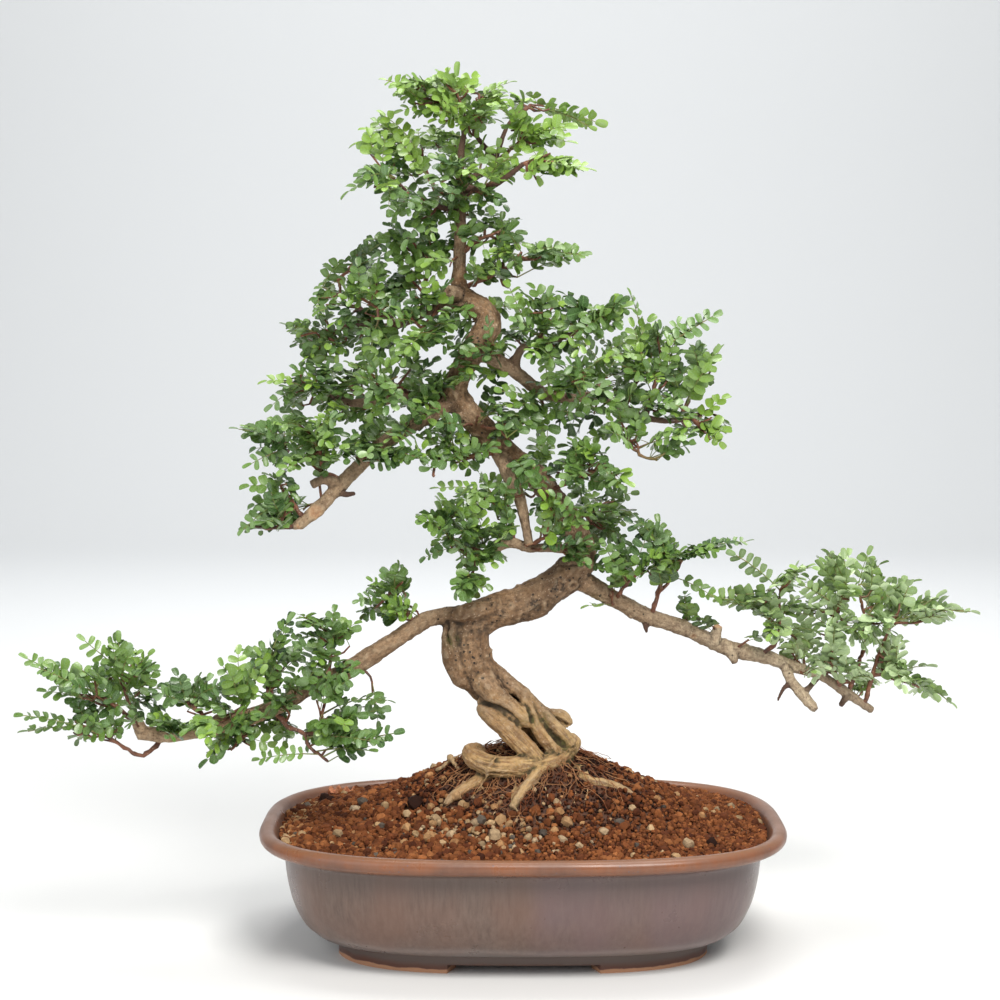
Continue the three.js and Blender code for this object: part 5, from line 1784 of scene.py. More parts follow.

# Leafy twigs, read off the front, each as the fields of a TwigReading. A separate program turned the
# readings into millimetres.
READ_TWIGS: dict[str, tuple] = {
    "crown_top": ([[(-41, 597, 0), (-44, 608, -4), (-47, 618, -6)], [(-44, 608, -4), (-53, 611, 4),
    (-61, 613, 10)]], [(-46, 641, -10), (-64, 635, -2), (-32, 634, 4, 0.8), (-104, 629, 22, 1, 1),
    (-97, 624, 2, 0.9, 1)], 12, 0.7),
    "crown_high_right": ([[(-35, 589, 8), (-35, 603, 8), (-32, 613, 8)]], [(-4, 628, 0),
    (-17, 620, 26, 0.7)], 10, 0.6),
    "crown_far_right": ([[(1, 607, 32), (6, 611, 34)]], [(60, 595, 38), (9, 618, 34),
    (52, 592, 24, 0.6)], 3, 0.75),
    "crown_right": ([[(-17, 571, 14), (-8, 580, 8), (1, 587, 4)]], [(39, 581, 2), (31, 594, -10, 0.9)], 9, 0.6),
    "crown_low_right": ([[(-1, 568, -24), (7, 571, -28)]], [(53, 563, -34), (14, 553, -24, 0.6)], 8, 0.6),
    "crown_low_left": ([[(-90, 556, -19), (-99, 561, -22)]], [(-108, 568, -26), (-132, 544, -34, 0.9)]),
    "crown_left": ([[(-60, 539, 8), (-65, 554, 14), (-74, 571, 22), (-85, 580, 28)]], [(-126, 581, 44),
    (-119, 594, 34), (-106, 606, 22, 0.7)], 11, 0.5),
    "crown_shoulder": ([[(-44, 504, 0), (-34, 513, -2), (-17, 520, -6)], [(-45, 480, 0), (-27, 486, -2),
    (-3, 500, -4)]], [(3, 518, -8), (-1, 530, 8, 0.9), (-25, 501, -14, 0.6), (50, 502, -8, 1, 1)]),
    "crown_front": ([[(-45, 546, 0), (-47, 557, -18), (-49, 566, -32)]], [(-60, 581, -46), (-25, 571, -44),
    (-71, 559, -44, 0.7)]),
    "crown_back": ([[(-45, 561, 0), (-47, 571, 20), (-51, 580, 40)]], [(-71, 596, 62), (-20, 599, 60),
    (-38, 563, 72, 0.7)]),
    "upper_left_high": ([[(-72, 462, 8), (-72, 480, 10), (-66, 496, 12), (-76, 508, 12)]], [(-114, 514, 16),
    (-94, 498, -6, 0.9), (-54, 510, 26, 0.7)]),
    "upper_left_tip": ([[(-109, 452, 31), (-116, 464, 26), (-129, 469, 28), (-134, 485, 32)]], [(-144, 496, 38),
    (-124, 501, 20), (-156, 471, 32, 0.6), (-153, 460, 10, 0.4)]),
    "upper_left_end": ([[(-124, 454, 37), (-134, 449, 40), (-146, 442, 38)]], [(-177, 453, 36),
    (-169, 437, 48)]),
    "upper_left_mid": ([[(-92, 452, 21), (-100, 462, 2), (-111, 469, -6)]], [(-109, 489, -18), (-129, 481, -2),
    (-83, 473, -22, 0.5)]),
    "upper_left_front": ([[(-60, 465, 0), (-71, 453, -14), (-80, 444, -26)]], [(-59, 441, -42),
    (-94, 425, -40)]),
    "upper_left_back": ([[(-89, 453, 20), (-96, 457, 44), (-105, 464, 62)]], [(-124, 449, 84), (-93, 482, 80)]),
    "left_high_end": ([[(-142, 404, 30), (-151, 407, 28), (-160, 409, 24)]], [(-193, 411, 18), (-187, 390, 20),
    (-169, 423, 36, 0.6)]),
    "left_high_front": ([[(-82, 402, 10), (-93, 410, -12), (-105, 415, -30)]], [(-131, 426, -46),
    (-89, 429, -46), (-122, 403, -50, 0.7)]),
    "left_high_back": ([[(-104, 398, 20), (-115, 402, 45), (-125, 406, 62)]], [(-149, 419, 82),
    (-109, 428, 84)]),
    "left_low": ([[(-135, 342, -34), (-148, 348, -36), (-158, 357, -38), (-169, 365, -40)], [(-146, 347, -36),
    (-148, 362, -44), (-154, 373, -46)]], [(-214, 378, -46), (-204, 349, -54), (-200, 362, -30, 0.8),
    (-182, 381, -56, 1, 1), (-129, 387, -60, 1, 1), (-126, 365, -54, 0.4, 1)], 13, 0.3),
    "left_tip": ([[(-159, 311, -44), (-165, 320, -45), (-173, 333, -46)]], [(-190, 346, -42), (-207, 335, -56),
    (-208, 300, -58, 0.8), (-202, 320, -40, 0.6)]),
    "left_under": ([[(-15, 361, 4), (-38, 357, -14), (-63, 357, -24)]], [(-114, 352, -34), (-72, 377, -30, 0.9),
    (-52, 348, -34, 0.6)]),
    "trunk_right": ([[(-35, 381, 0), (-22, 378, -16), (-12, 381, -22)]], [(-25, 400, -26),
    (13, 384, -18)], 5, 0.3),
    "right_front_up": ([[(12, 440, -16), (16, 453, -22), (18, 462, -24)]], [(21, 482, -28), (2, 484, -20)]),
    "right_up": ([[(38, 449, -30), (49, 455, -33), (56, 458, -35)]], [(59, 467, -40), (72, 449, -46),
    (27, 435, -50, 0.5)]),
    "right_tall": ([[(69, 396, 16), (81, 409, 14), (86, 421, 12), (85, 439, 12)]], [(75, 480, 14), (96, 461, 6),
    (60, 434, -6, 0.6)], 9, 0.45),
    "right_high": ([[(89, 386, 20), (94, 402, 20), (97, 419, 20), (101, 436, 20)]], [(144, 463, 24),
    (114, 458, 34), (72, 419, -8, 0.6)]),
    "right_end_up": ([[(114, 384, 24), (121, 400, 26), (127, 415, 28)]], [(147, 438, 30),
    (137, 428, 12)], 8, 0.5),
    "right_end_low": ([[(123, 386, 25), (127, 381, 20), (130, 377, 16)]], [(148, 364, 12), (151, 377, 24),
    (151, 403, 26, 0.5)], 8, 0.6),
    "right_hanging": ([[(85, 387, 19), (76, 373, 4), (85, 359, -6), (98, 355, -10)]], [(127, 374, -14),
    (56, 377, 0, 0.4)]),
    "right_under": ([[(9, 407, -2), (14, 397, -4), (18, 387, -6)]], [(17, 358, -8), (-22, 405, -26, 0.6),
    (45, 387, -20, 0.8)]),
    "right_front": ([[(31, 400, 4), (38, 410, -22), (45, 419, -44)]], [(22, 426, -58), (72, 428, -64),
    (65, 400, -56, 0.7)]),
    "right_back": ([[(56, 402, 12), (55, 413, 40), (56, 426, 62)]], [(38, 446, 80), (83, 447, 86),
    (89, 412, 78, 0.6)]),
    "middle_right": ([[(11, 333, 9), (27, 336, 2), (49, 345, -10), (58, 355, -16)]], [(31, 370, -16, 0.9),
    (63, 365, -20), (74, 335, -22, 0.6)]),
    "middle_front": ([[(-2, 292, -11), (13, 297, -20), (27, 306, -26), (38, 312, -28)]], [(18, 333, -36),
    (58, 322, -34), (48, 303, -46, 0.9)]),
    "middle_back": ([[(33, 311, 10), (45, 315, 35), (56, 322, 55)]], [(85, 332, 72), (36, 339, 76),
    (69, 303, 62, 0.6)]),
    "middle_left": ([[(-28, 284, -21), (-40, 287, -26), (-56, 303, -34)], [(-36, 285, -25), (-36, 276, -28),
    (-39, 270, -30)]], [(-79, 313, -42), (-76, 281, -32, 0.6), (-49, 252, -32, 1, 1), (-22, 260, -40, 0.9, 1)]),
    "middle_left_up": ([[(-8, 295, -14), (-8, 306, -16), (-13, 320, -18), (-24, 330, -18)]], [(-68, 333, -24),
    (-38, 351, -18), (-8, 343, -34, 0.6)]),
    "right_fork": ([[(95, 244, 19), (98, 254, 16), (103, 273, 13), (105, 284, 12)], [(100, 259, 15),
    (108, 267, 12), (118, 284, 8)]], [(97, 316, 16), (80, 306, 2, 0.8), (169, 295, 4, 1, 1),
    (146, 250, -2, 0.5, 1)]),
    "junction": ([[(69, 254, 13), (73, 261, 8), (83, 271, 2)], [(68, 253, 13), (65, 249, 11)]], [(93, 304, -6),
    (56, 298, -12, 0.6), (42, 247, 8, 1, 1)], 2, 0.3),
    # The far right twigs are given high ages: partly their young growth, partly painted light, as that end is
    # lit more strongly.
    "far_right_first": ([[(177, 214, 43), (186, 222, 42), (188, 238, 40), (188, 260, 36)]], [(149, 289, 32),
    (199, 273, 46), (133, 255, 26, 0.6), (163, 223, 28, 0.3)], 9, 0.5),
    "far_right_second": ([[(222, 197, 58), (228, 216, 56), (229, 236, 54), (236, 264, 50)]], [(218, 291, 46),
    (234, 291, 60), (203, 273, 50, 0.7), (196, 244, 44, 0.5)], 10, 0.6),
    "far_right_third": ([[(239, 185, 63), (247, 207, 62), (251, 231, 60), (245, 261, 56)]], [(255, 292, 54),
    (267, 282, 66), (292, 267, 60, 0.7)], 10, 0.65),
    "far_right_fourth": ([[(251, 177, 65), (256, 194, 66), (262, 216, 66), (270, 236, 66)], [(258, 197, 66),
    (266, 197, 66), (275, 194, 67)]], [(335, 243, 66), (311, 259, 78, 0.9), (284, 223, 54, 0.6),
    (319, 172, 68, 1, 1), (304, 203, 78, 0.7, 1)], 11, 0.65),
    "far_right_front": ([[(233, 188, 61), (230, 197, 48), (227, 205, 38)]], [(212, 191, 32), (253, 203, 34),
    (207, 212, 28, 0.8)]),
    "far_left_low": ([[(-265, 150, -56), (-274, 141, -60), (-283, 138, -63), (-300, 148, -68),
    (-329, 163, -72)]], [(-374, 168, -80, 0.75), (-371, 153, -70, 0.75), (-292, 168, -72, 0.55)]),
    "far_left_end": ([[(-286, 164, -62), (-297, 173, -64), (-310, 180, -66), (-323, 180, -68)]],
    [(-370, 212, -72), (-356, 185, -62), (-328, 207, -76, 0.6)]),
    "far_left_up": ([[(-279, 154, -60), (-290, 179, -56), (-295, 201, -52)]], [(-297, 230, -50),
    (-326, 227, -46), (-269, 216, -64, 0.6)]),
    "lower_left_third": ([[(-225, 160, -51), (-235, 168, -54), (-247, 175, -56)]], [(-256, 203, -58),
    (-275, 186, -66), (-233, 195, -46, 0.5)]),
    "lower_left_second": ([[(-213, 164, -49), (-205, 174, -46), (-207, 186, -44)]], [(-223, 210, -48),
    (-208, 220, -38), (-187, 205, -56, 0.6)]),
    "lower_left_first": ([[(-185, 171, -43), (-187, 186, -37), (-185, 200, -32)]], [(-191, 222, -36),
    (-169, 244, -26), (-163, 212, -20, 0.6)]),
    "lower_left_mid": ([[(-144, 194, -34), (-141, 208, -32), (-140, 222, -30)]], [(-137, 250, -28),
    (-118, 233, -38), (-116, 198, -48, 0.5)]),
    "lower_left_near": ([[(-80, 236, -12), (-87, 247, -14), (-96, 253, -16), (-102, 257, -18)]],
    [(-93, 282, -18, 0.7), (-115, 269, -24), (-125, 250, -28)]),
    "hanging": ([[(-181, 169, -42), (-172, 159, -46), (-161, 154, -50), (-157, 145, -54), (-143, 133, -60)],
    [(-161, 154, -50), (-147, 155, -51), (-148, 167, -48), (-141, 186, -44)]], [(-86, 155, -66, 0.9),
    (-199, 133, -50, 0.85), (-106, 140, -74, 0.8), (-93, 177, -58, 0.6, 1), (-127, 200, -50, 1, 1)], 12, 0.2),
    "lower_left_under": ([[(-200, 166, -46), (-206, 153, -50), (-211, 145, -54)]], [(-239, 129, -58),
    (-180, 146, -42, 0.6)], 4, 0.25),
}
TWIGS = {name: TwigReading(*row) for name, row in READ_TWIGS.items()}

# Where the longest leaf of each filling shoot ends. A separate program found all of these places, where an
# earlier render lacked the photo's foliage.
FILLING = np.array([
    -108, 438, -3, -52, 432, -37, 29, 350, -22, -75, 429, 4, -135, 431, 53, 113, 385, -5, -16, 367, -24,
    -56, 376, -19, -169, 387, -77, -30, 562, -46, -43, 513, -28, 10, 334, -22, -7, 616, 57, -162, 213, -7,
    -75, 386, -10, -30, 434, -34, -12, 462, 8, 9, 444, -34, -255, 155, -72, -33, 392, -28, -270, 197, -39,
    -69, 598, -8, 49, 403, -7, 193, 265, 65, -225, 189, -25, -84, 458, -6, -6, 564, -18, 33, 467, -20,
    -94, 375, -38, -48, 463, -29, -154, 423, 36, -177, 154, -26, -108, 496, 24, 128, 437, 51, -122, 167, -77,
    -79, 523, -24, 54, 371, 11, 28, 437, -4, 248, 191, 88, 58, 447, -48, 1, 504, 1, -30, 532, 29, -169, 447, 66,
    11, 401, -25, -122, 382, 36, -143, 351, -28, -37, 585, 32, -92, 559, 35, -100, 518, 1, -131, 398, 27,
    -43, 256, -60, -161, 377, -59, -102, 168, -34, -325, 179, -52, -24, 350, -7, -98, 242, -39, -54, 408, -13,
    -185, 385, -26, -113, 359, -55, 119, 256, 37, 53, 251, 23, 102, 415, 33, -157, 243, -63, -127, 199, -49,
    -295, 170, -53, 15, 363, 34, -33, 317, 14, 321, 246, 97, -203, 218, -14, 10, 314, -13, -52, 543, 38,
    32, 338, -29, -118, 239, 3, -14, 284, -15, 76, 337, -37, 277, 194, 48, -69, 467, -16, 272, 254, 77,
    85, 310, -2, 44, 278, -12, 25, 505, -30, 20, 458, -22, -172, 346, -52, 137, 413, 58, 91, 388, -18,
    221, 284, 72, -61, 506, 15, 24, 586, -7, -61, 306, -53, 66, 473, -40, -172, 315, -28, -135, 452, 9,
    -40, 623, 41, -46, 493, -10, 236, 261, 41, 198, 248, 70, -18, 542, -20, 222, 198, 67, -96, 437, 8,
    26, 379, 17, -338, 153, -55, -89, 611, -7, -120, 589, -12, 31, 411, 21, -65, 335, -55, -229, 147, -47,
    -12, 334, 39, -197, 140, -15, -3, 381, -7, -80, 273, -36, 204, 224, 83, 226, 224, 31, -15, 596, -21,
    -38, 418, -34, -88, 544, -22, -144, 400, 54, 61, 280, -2, -35, 308, -35, -28, 493, -25, 101, 403, 35,
    14, 426, -43, -176, 183, -61, 75, 306, 68, -102, 393, -48, -54, 531, -10, -42, 601, -17, 52, 298, 48,
    76, 399, 22, 248, 224, 38, -276, 168, -71, 4, 349, -13, -83, 407, -1, -13, 305, -40, -96, 488, 16,
    -89, 358, -33, -202, 163, -72, -49, 449, 18, -69, 386, -10, -68, 546, -20, -71, 587, 53, -124, 362, -29,
    -154, 228, -58, -56, 320, -14, 4, 603, -14, 80, 469, -22, 262, 235, 29, -22, 418, 0, 53, 251, 6,
    -154, 190, -51, -78, 475, -16, -139, 379, 3, 182, 226, 12, -9, 493, -12, 242, 242, 73, 49, 378, 32,
    -169, 329, -61, -16, 284, -37, -19, 583, 16, 247, 191, 76, -123, 400, 9, -203, 379, -21, -228, 163, -64,
    -70, 426, 33, 101, 271, -20, 108, 420, 48, -41, 544, 27, 283, 191, 52, 72, 287, -3, -18, 444, -41,
    -338, 153, -96, -7, 564, -2, -105, 516, -6, -130, 190, -62, 279, 262, 79, -105, 374, 11, 163, 247, 26,
    -33, 370, 31, -140, 418, -7, -266, 155, -84, 302, 184, 57, 12, 504, -17, 30, 472, -4, -1, 315, -27,
    91, 440, 42, 206, 277, 12, 15, 442, -47, -39, 254, -61, 127, 281, -7, -49, 407, -17, -360, 157, -61,
    -150, 146, -36, -88, 626, -24, 36, 334, 67, -16, 365, -15, -183, 352, -8, 34, 400, -29, -59, 489, -18,
    252, 209, 76, -126, 455, 51, 121, 389, 61, -234, 202, -49, -189, 177, -64, 46, 426, 12, -87, 257, -23,
    -100, 558, 17, 30, 298, -22, -151, 214, -2, -183, 309, -33, 202, 245, 65, -21, 400, 20, -71, 326, -49,
    -169, 168, -40, -6, 472, 17, -63, 605, 23, 215, 198, 27, 75, 271, 44, -314, 205, -92, -282, 216, -20,
    -96, 467, -20, -105, 497, 1, -96, 241, 12, 76, 328, 67, -69, 526, 5, 41, 569, -47, -106, 441, 12,
    -108, 357, -63, 82, 409, -5, 52, 295, 60, -147, 400, -5, 102, 403, 14, -21, 596, -19, 73, 393, -6,
    209, 225, 65, 17, 424, -36, -92, 544, -43, -17, 493, -28, -286, 170, -83, -36, 309, -50, -40, 407, 17,
    -86, 358, -46, 250, 216, 40, -58, 528, -2, -165, 190, -65, 70, 299, 26, 174, 230, 13, 229, 234, 32,
    -203, 171, -64, -203, 379, -56, -173, 343, -69, -15, 284, -45, -48, 449, 9, -230, 159, -71, 15, 504, 10,
    -73, 588, 37, -40, 613, -14, 158, 248, 45, 272, 234, 32, -360, 157, -100, -124, 359, -26, -69, 326, -34,
    -149, 146, -62, 279, 271, 66, 77, 319, 24, 247, 191, 26, 191, 222, 54, 305, 184, 84, -38, 254, -9,
    -83, 407, 34, -88, 626, 17, 80, 468, -44, -126, 438, 47, 36, 373, -11, -198, 308, -27, -90, 392, -57,
    -110, 516, 40, -44, 368, 6, -112, 461, 6, -139, 377, -50, -314, 191, -37, -7, 458, -34, 137, 295, -16,
    103, 269, -6, -138, 417, 3, -169, 316, -26, 125, 377, 48, -11, 614, -8, 85, 413, -4, -44, 556, -36,
    -58, 433, -23, -72, 385, -38, -22, 418, 15, -171, 154, -29, -154, 202, -53, -45, 407, -24, -140, 354, -67,
    -56, 480, -24, -27, 525, 23, -76, 604, 11, 51, 295, -7, 103, 389, -10, -9, 444, 13, -235, 159, -82,
    -133, 431, 11, -51, 524, 9, -91, 531, -41, 65, 390, -17, 256, 191, 84, -48, 452, -36, -276, 174, -31,
    18, 352, 17, 164, 235, 45, 242, 253, 24, 128, 436, 38, -171, 447, 25, -269, 203, -81, -173, 398, 49,
    -45, 256, -41, 11, 332, -39, 71, 293, 34, -99, 357, -61, -42, 327, -36, 321, 246, 57, -186, 160, -28,
    -108, 463, 7, -187, 308, -69, 115, 267, 3, -17, 488, 12, -256, 161, -27, -151, 146, -19, 53, 356, -13,
    -93, 275, -6, -60, 382, -24, 104, 408, 55, -37, 508, 20, -87, 489, 20, 96, 454, 5, 174, 228, 25,
    -150, 466, 59, 139, 241, 19, -127, 488, 3, -47, 294, -13, -92, 626, 23, 36, 434, -5, -102, 378, -11,
    -120, 556, -32, -60, 643, -12, -4, 505, -37, 210, 217, 39,
]).reshape(-1, 3)


def model_rings(name: str, rows: Array, sides: int) -> Thing:
    """Models a closed body of oval rings by extruding one ring again and again.

    The ovals are superellipses of power 3.

    Args:
        name: the object's name.
        rows: half length, half depth and height of each ring.
        sides: the corners of a ring.

    Returns:
        The mesh object.
    """
    only()
    bpy.ops.mesh.primitive_circle_add(vertices=sides, radius=1.0, fill_type="NOTHING")
    thing = bpy.context.object
    thing.name = name
    with editing(thing):
        for _ in rows[1:]:
            bpy.ops.mesh.extrude_region_move()
    turn = np.arange(sides) * 2.0 * np.pi / sides
    across, back = (np.sign(way) * np.abs(way) ** (2.0 / 3.0) for way in (np.cos(turn), np.sin(turn)))
    rings = [np.column_stack([across * row[0], back * row[1], np.full(sides, row[2])]) for row in rows]
    move_corners(thing, np.concatenate(rings) * MM)
    for ring in (0, len(rows) - 1):
        deselect(thing)
        for vertex in thing.data.vertices[ring * sides : (ring + 1) * sides]:
            vertex.select = True
        with editing(thing, ""):
            bpy.ops.mesh.edge_face_add()
            bpy.ops.mesh.poke()
    with editing(thing):
        bpy.ops.mesh.normals_make_consistent(inside=False)
    return thing


@dataclass
class Pot:
    """The oval pot: a hollow body with a rolled lip, drain holes and four corner feet."""

    length: float = 382.0
    depth: float = 282.0
    sides: int = 176
    foot_inset: float = 53.0
    foot_width: float = 17.0
    foot_height: float = 6.0
    foot_gap_front: float = 104.0
    foot_gap_side: float = 60.0
    drain_radius: float = 12.0
    drain_offset: float = 62.0
    section: tuple[tuple[float, float], ...] = (
        (55, 6), (54, 10), (52.8, 13.6), (48, 15), (41, 16.3), (36, 20), (31, 25), (26.5, 33), (23, 42),
        (20.6, 52), (19, 62), (18.2, 70), (17.6, 76.5), (14, 79.4), (7, 81.2), (2.6, 83.4), (0.4, 86),
        (0, 88.6), (1.4, 91.3), (4, 92.7), (6.6, 93), (9.4, 91.8), (11.6, 88.8), (13.4, 85.6), (18, 80),
        (25, 74), (27, 62), (28.2, 50), (33, 36), (40, 27), (46, 22.6), (56, 21),
    )

    @property
    def half(self) -> Array:
        """Gives half the rim's length and depth."""
        return np.array([self.length / 2, self.depth / 2])

    def build(self, finish: Material) -> None:
        """Models the pot and hands it over.

        Args:
            finish: the glaze.
        """
        corners = np.array([(inset, 0.0, height) for inset, height in self.section])
        section = smooth(corners, 2.2)[:, [0, 2]]
        inner = self.foot_inset + self.foot_width
        below = ((inner + 40, self.foot_height), (inner, self.foot_height))
        rows = [(*(self.half - inset), height) for inset, height in (*below, *section, (100, section[-1, 1]))]
        thing = model_rings("glazed_pot", np.array(rows), self.sides)
        self._raise_feet(thing)
        self._drill(thing)
        settings = {"limit_method": "ANGLE", "angle_limit": math.radians(50)}
        add_modifier(thing, "BEVEL", width=0.9 * MM, segments=2, **settings)
        corners = corners_of(thing)
        drift = cloudy(corners * 9.0) * ease((corners[:, 2] - 0.012) / 0.02) * 0.5 * MM
        move_corners(thing, corners + normals_of(thing) * drift[:, None])
        settle(thing, 42.0, "glaze", ["pot"], finish)

    def _raise_feet(self, thing: Thing) -> None:
        """Extrudes the four corner feet from the ring under the pot.

        Args:
            thing: the pot.
        """
        outer, inner = (self.half - self.foot_inset - width for width in (0.0, self.foot_width))
        deselect(thing)
        for face in thing.data.polygons:
            x, y, z = (abs(value) / MM for value in face.center)
            share, rim = ((x / half[0]) ** 3 + (y / half[1]) ** 3 for half in (inner, outer))
            in_ring = abs(z - self.foot_height) < 0.1 and share > 1.0 > rim
            face.select = bool(in_ring and x > self.foot_gap_front / 2 and y > self.foot_gap_side / 2)
        with editing(thing, "", "FACE"):
            bpy.ops.mesh.extrude_region_move(TRANSFORM_OT_translate={"value": (0, 0, -self.foot_height * MM)})

    def _drill(self, thing: Thing) -> None:
        """Cuts the drain holes.

        Args:
            thing: the pot.
        """
        drills = []
        for side in (-1.0, 1.0):
            only()
            place = (side * self.drain_offset * MM, 0.0, 0.012)
            radius = self.drain_radius * MM
            bpy.ops.mesh.primitive_cylinder_add(vertices=40, radius=radius, depth=0.05, location=place)
            drills.append(bpy.context.object)
        only(*drills)
        bpy.ops.object.join()
        drill = bpy.context.object
        add_modifier(thing, "BOOLEAN", operation="DIFFERENCE", solver="EXACT", object=drill)
        bpy.data.objects.remove(drill)


class GrainHeaps:
    """Three heaps of grains beside each other, and the shapes that they copy."""

    def __init__(self, seed: int) -> None:
        """Models the grains once each: small ones of 20 faces and large ones of 48.

        Args:
            seed: starts their small chances.
        """
        self.chances = np.random.default_rng(seed)
        self.heaps = [Gathering() for _ in range(3)]
        self.small, self.large = [], []
        for number in range(10):
            only()
            if number < 5:
                bpy.ops.mesh.primitive_ico_sphere_add(subdivisions=1, radius=0.5)
            else:
                bpy.ops.mesh.primitive_cube_add(size=0.7)
                with editing(bpy.context.object):
                    bpy.ops.mesh.subdivide(number_cuts=1, smoothness=0.9)
            shape = Shape.taken_from(bpy.context.object)
            shape.corners *= self.chances.uniform(0.86, 1.14, (len(shape.corners), 1))
            (self.small if number < 5 else self.large).append(shape)

    def lay(self, place: Reading, size: float, tone: float, is_large: bool) -> None:
        """Copies one grain to its place, in the heap of its third of the pot.

        Args:
            place: where it lies.
            size: its breadth.
            tone: its colour, as the grains' finish reads it.
            is_large: whether it has the finer shape.
        """
        shape = (self.large if is_large else self.small)[self.chances.integers(5)]
        stretch = self.chances.uniform(0.78, 1.2, 3) * size * 1.08
        corners = (shape.corners * stretch) @ spun(self.chances).T + place
        looks = np.zeros((len(corners), 4))
        looks[:, 0] = tone
        looks[:, 1] = ease(self.chances.normal(0.5, 0.24))
        heap = self.heaps[int(ease((place[0] + 78.0) // 52.0, 0, 2))]
        heap.add(corners, shape.faces, looks, shape.kinds)


@dataclass
class Soil:
    """The mounded earth, its grains, the flake of bark on it and the rootlets that run through it."""

    pot: Pot
    sides: int = 180
    rings: int = 62
    edge_inset: float = 13.0
    edge_top: float = 85.0
    mound: float = 60.0
    centre: tuple[float, float] = (5.0, 8.0)
    spread: Reading = (108.0, 71.0, 95.0)
    spacing: float = 2.9
    hairs: int = 210
    flake: tuple[float, float] = (-141.0, 90.0)
    stones: tuple[tuple[float, float, float, float], ...] = (
        (-78, -35, 10, 0.05), (-151, 59, 7, 0.03), (-146, 52, 6, 0.06), (-117, -2, 7, 0.97),
        (-83, -44, 5.4, 0.84), (115, -80, 6.4, 0.89), (56, -75, 6.6, 0.9), (-132, -54, 5.8, 0.84),
        (-20, -83, 7.2, 0.86), (78, -44, 5.2, 0.85), (-62, -58, 6.4, 0.83), (-30, -66, 6, 0.98),
        (132, -74, 5.6, 0.04), (-100, -24, 5.6, 0.8), (-48, -40, 5.8, 0.76),
    )
    seed: int = 21

    def height(self, x: Array | float, y: Array | float) -> Array:
        """Gives the height of the earth at a place.

        Args:
            x: the place across.
            y: the place in depth.

        Returns:
            The height.
        """
        wide, front, back = self.spread
        reach = np.where(y < self.centre[1], front, back)
        share = ((x - self.centre[0]) / wide) ** 2 + ((y - self.centre[1]) / reach) ** 2
        return self.edge_top + self.mound * np.exp(-share)

    def bed(self, finish: Material) -> None:
        """Models the earth as one closed body.

        Args:
            finish: the earth's finish.
        """
        below = ((57, 21.4), (47, 23.4), (34.4, 36.4), (29.6, 50), (26.4, 74), (15, 84.5))
        rows = [(*(self.pot.half - inset), height) for inset, height in below]
        edge = self.pot.half - self.edge_inset - 1.2
        rows += [(*(edge * share), 0.0) for share in np.linspace(1.0, 0.02, self.rings)]
        thing = model_rings("earth_bed", np.array(rows), self.sides)
        corners = corners_of(thing) / MM
        flat = corners * (1, 1, 0)
        surface = self.height(corners[:, 0], corners[:, 1]) - 2.2
        surface += 1.1 * cloudy(flat / 6.0)
        surface += 1.2 * cloudy(flat / 26.0)
        corners[:, 2] = np.where(corners[:, 2] < 1.0, surface, corners[:, 2])
        move_corners(thing, corners * MM)
        settle(thing, 60.0, "soil", ["soil"], finish)

    def grains(self, skeleton: Skeleton, finish: Material) -> None:
        """Scatters the grains over the earth, close beside each other.

        Args:
            skeleton: the wood that the grains keep clear of.
            finish: the grains' finish.
        """
        heaps = GrainHeaps(self.seed)
        half = self.pot.half - self.edge_inset - 2.2
        for order, back in enumerate(np.arange(-half[1], half[1], self.spacing * 0.866)):
            for across in np.arange(-half[0], half[0], self.spacing) + (order % 2) * self.spacing / 2:
                place = np.array([across, back]) + heaps.chances.normal(0.0, self.spacing * 0.24, 2)
                if np.sum(np.abs(place / half) ** 3) <= 1.0:
                    self._grain(heaps, *place, skeleton)
        for x, y, size, tone in self.stones:
            heaps.lay((x, y, float(self.height(x, y)) + 0.2 * size), size, tone, True)
        for name, heap in zip(("left", "middle", "right"), heaps.heaps):
            settle(heap.as_object(f"soil_grains_{name}", "grain_look"), 38.0, "soil", [], finish)

    def _grain(self, heaps: GrainHeaps, x: float, y: float, skeleton: Skeleton) -> None:
        """Lays one grain, of a kind and size that suit its place.

        Args:
            heaps: where the grains gather.
            x: its place across.
            y: its place in depth.
            skeleton: the wood that it keeps clear of.
        """
        chances = heaps.chances
        inner = math.hypot((x - 2.0) / 74.0, (y + 2.0) / 56.0)
        humus = chances.random() < ease(1.6 - inner, 0.0, 0.93)
        pebbly = math.exp(-(((x + 52.0) / 46.0) ** 2) - ((y + 66.0) / 32.0) ** 2)
        pebbly += 0.8 * math.exp(-(((x + 8.0) / 40.0) ** 2) - ((y + 74.0) / 20.0) ** 2)
        sandy = 0.6 * math.exp(-(((x + 172.0) / 14.0) ** 2))
        chance = chances.random()
        if humus:
            size, tone = chances.lognormal(0.72, 0.26), chances.beta(1.2, 2.4) * 0.3
            if chance < 0.02 + 0.2 * pebbly:
                size, tone = chances.lognormal(1.2, 0.25), chances.uniform(0.68, 0.86)
        elif chance < 0.012 + 0.15 * pebbly:
            size, tone = chances.lognormal(1.32, 0.26), chances.uniform(0.68, 0.92)
        elif chance < 0.02 + 0.19 * pebbly:
            size, tone = chances.lognormal(1.2, 0.26), chances.uniform(0.95, 1.0)
        elif chance > 1.0 - sandy:
            size, tone = chances.lognormal(1.2, 0.2), chances.uniform(0.62, 0.8)
        else:
            size, tone = chances.lognormal(1.16 + 0.12 * (x < 0), 0.22), chances.beta(2.0, 2.0) * 0.5 + 0.16
        size = float(ease(size, 1.5, 7.0))
        z = float(self.height(x, y)) + chances.uniform(-0.9, 0.5) + 0.1 * size - 0.9
        if skeleton.clear_of(np.array([x, y, z])) >= 0.35 * size:
            heaps.lay((x, y, z), size, tone, size >= 4.6)

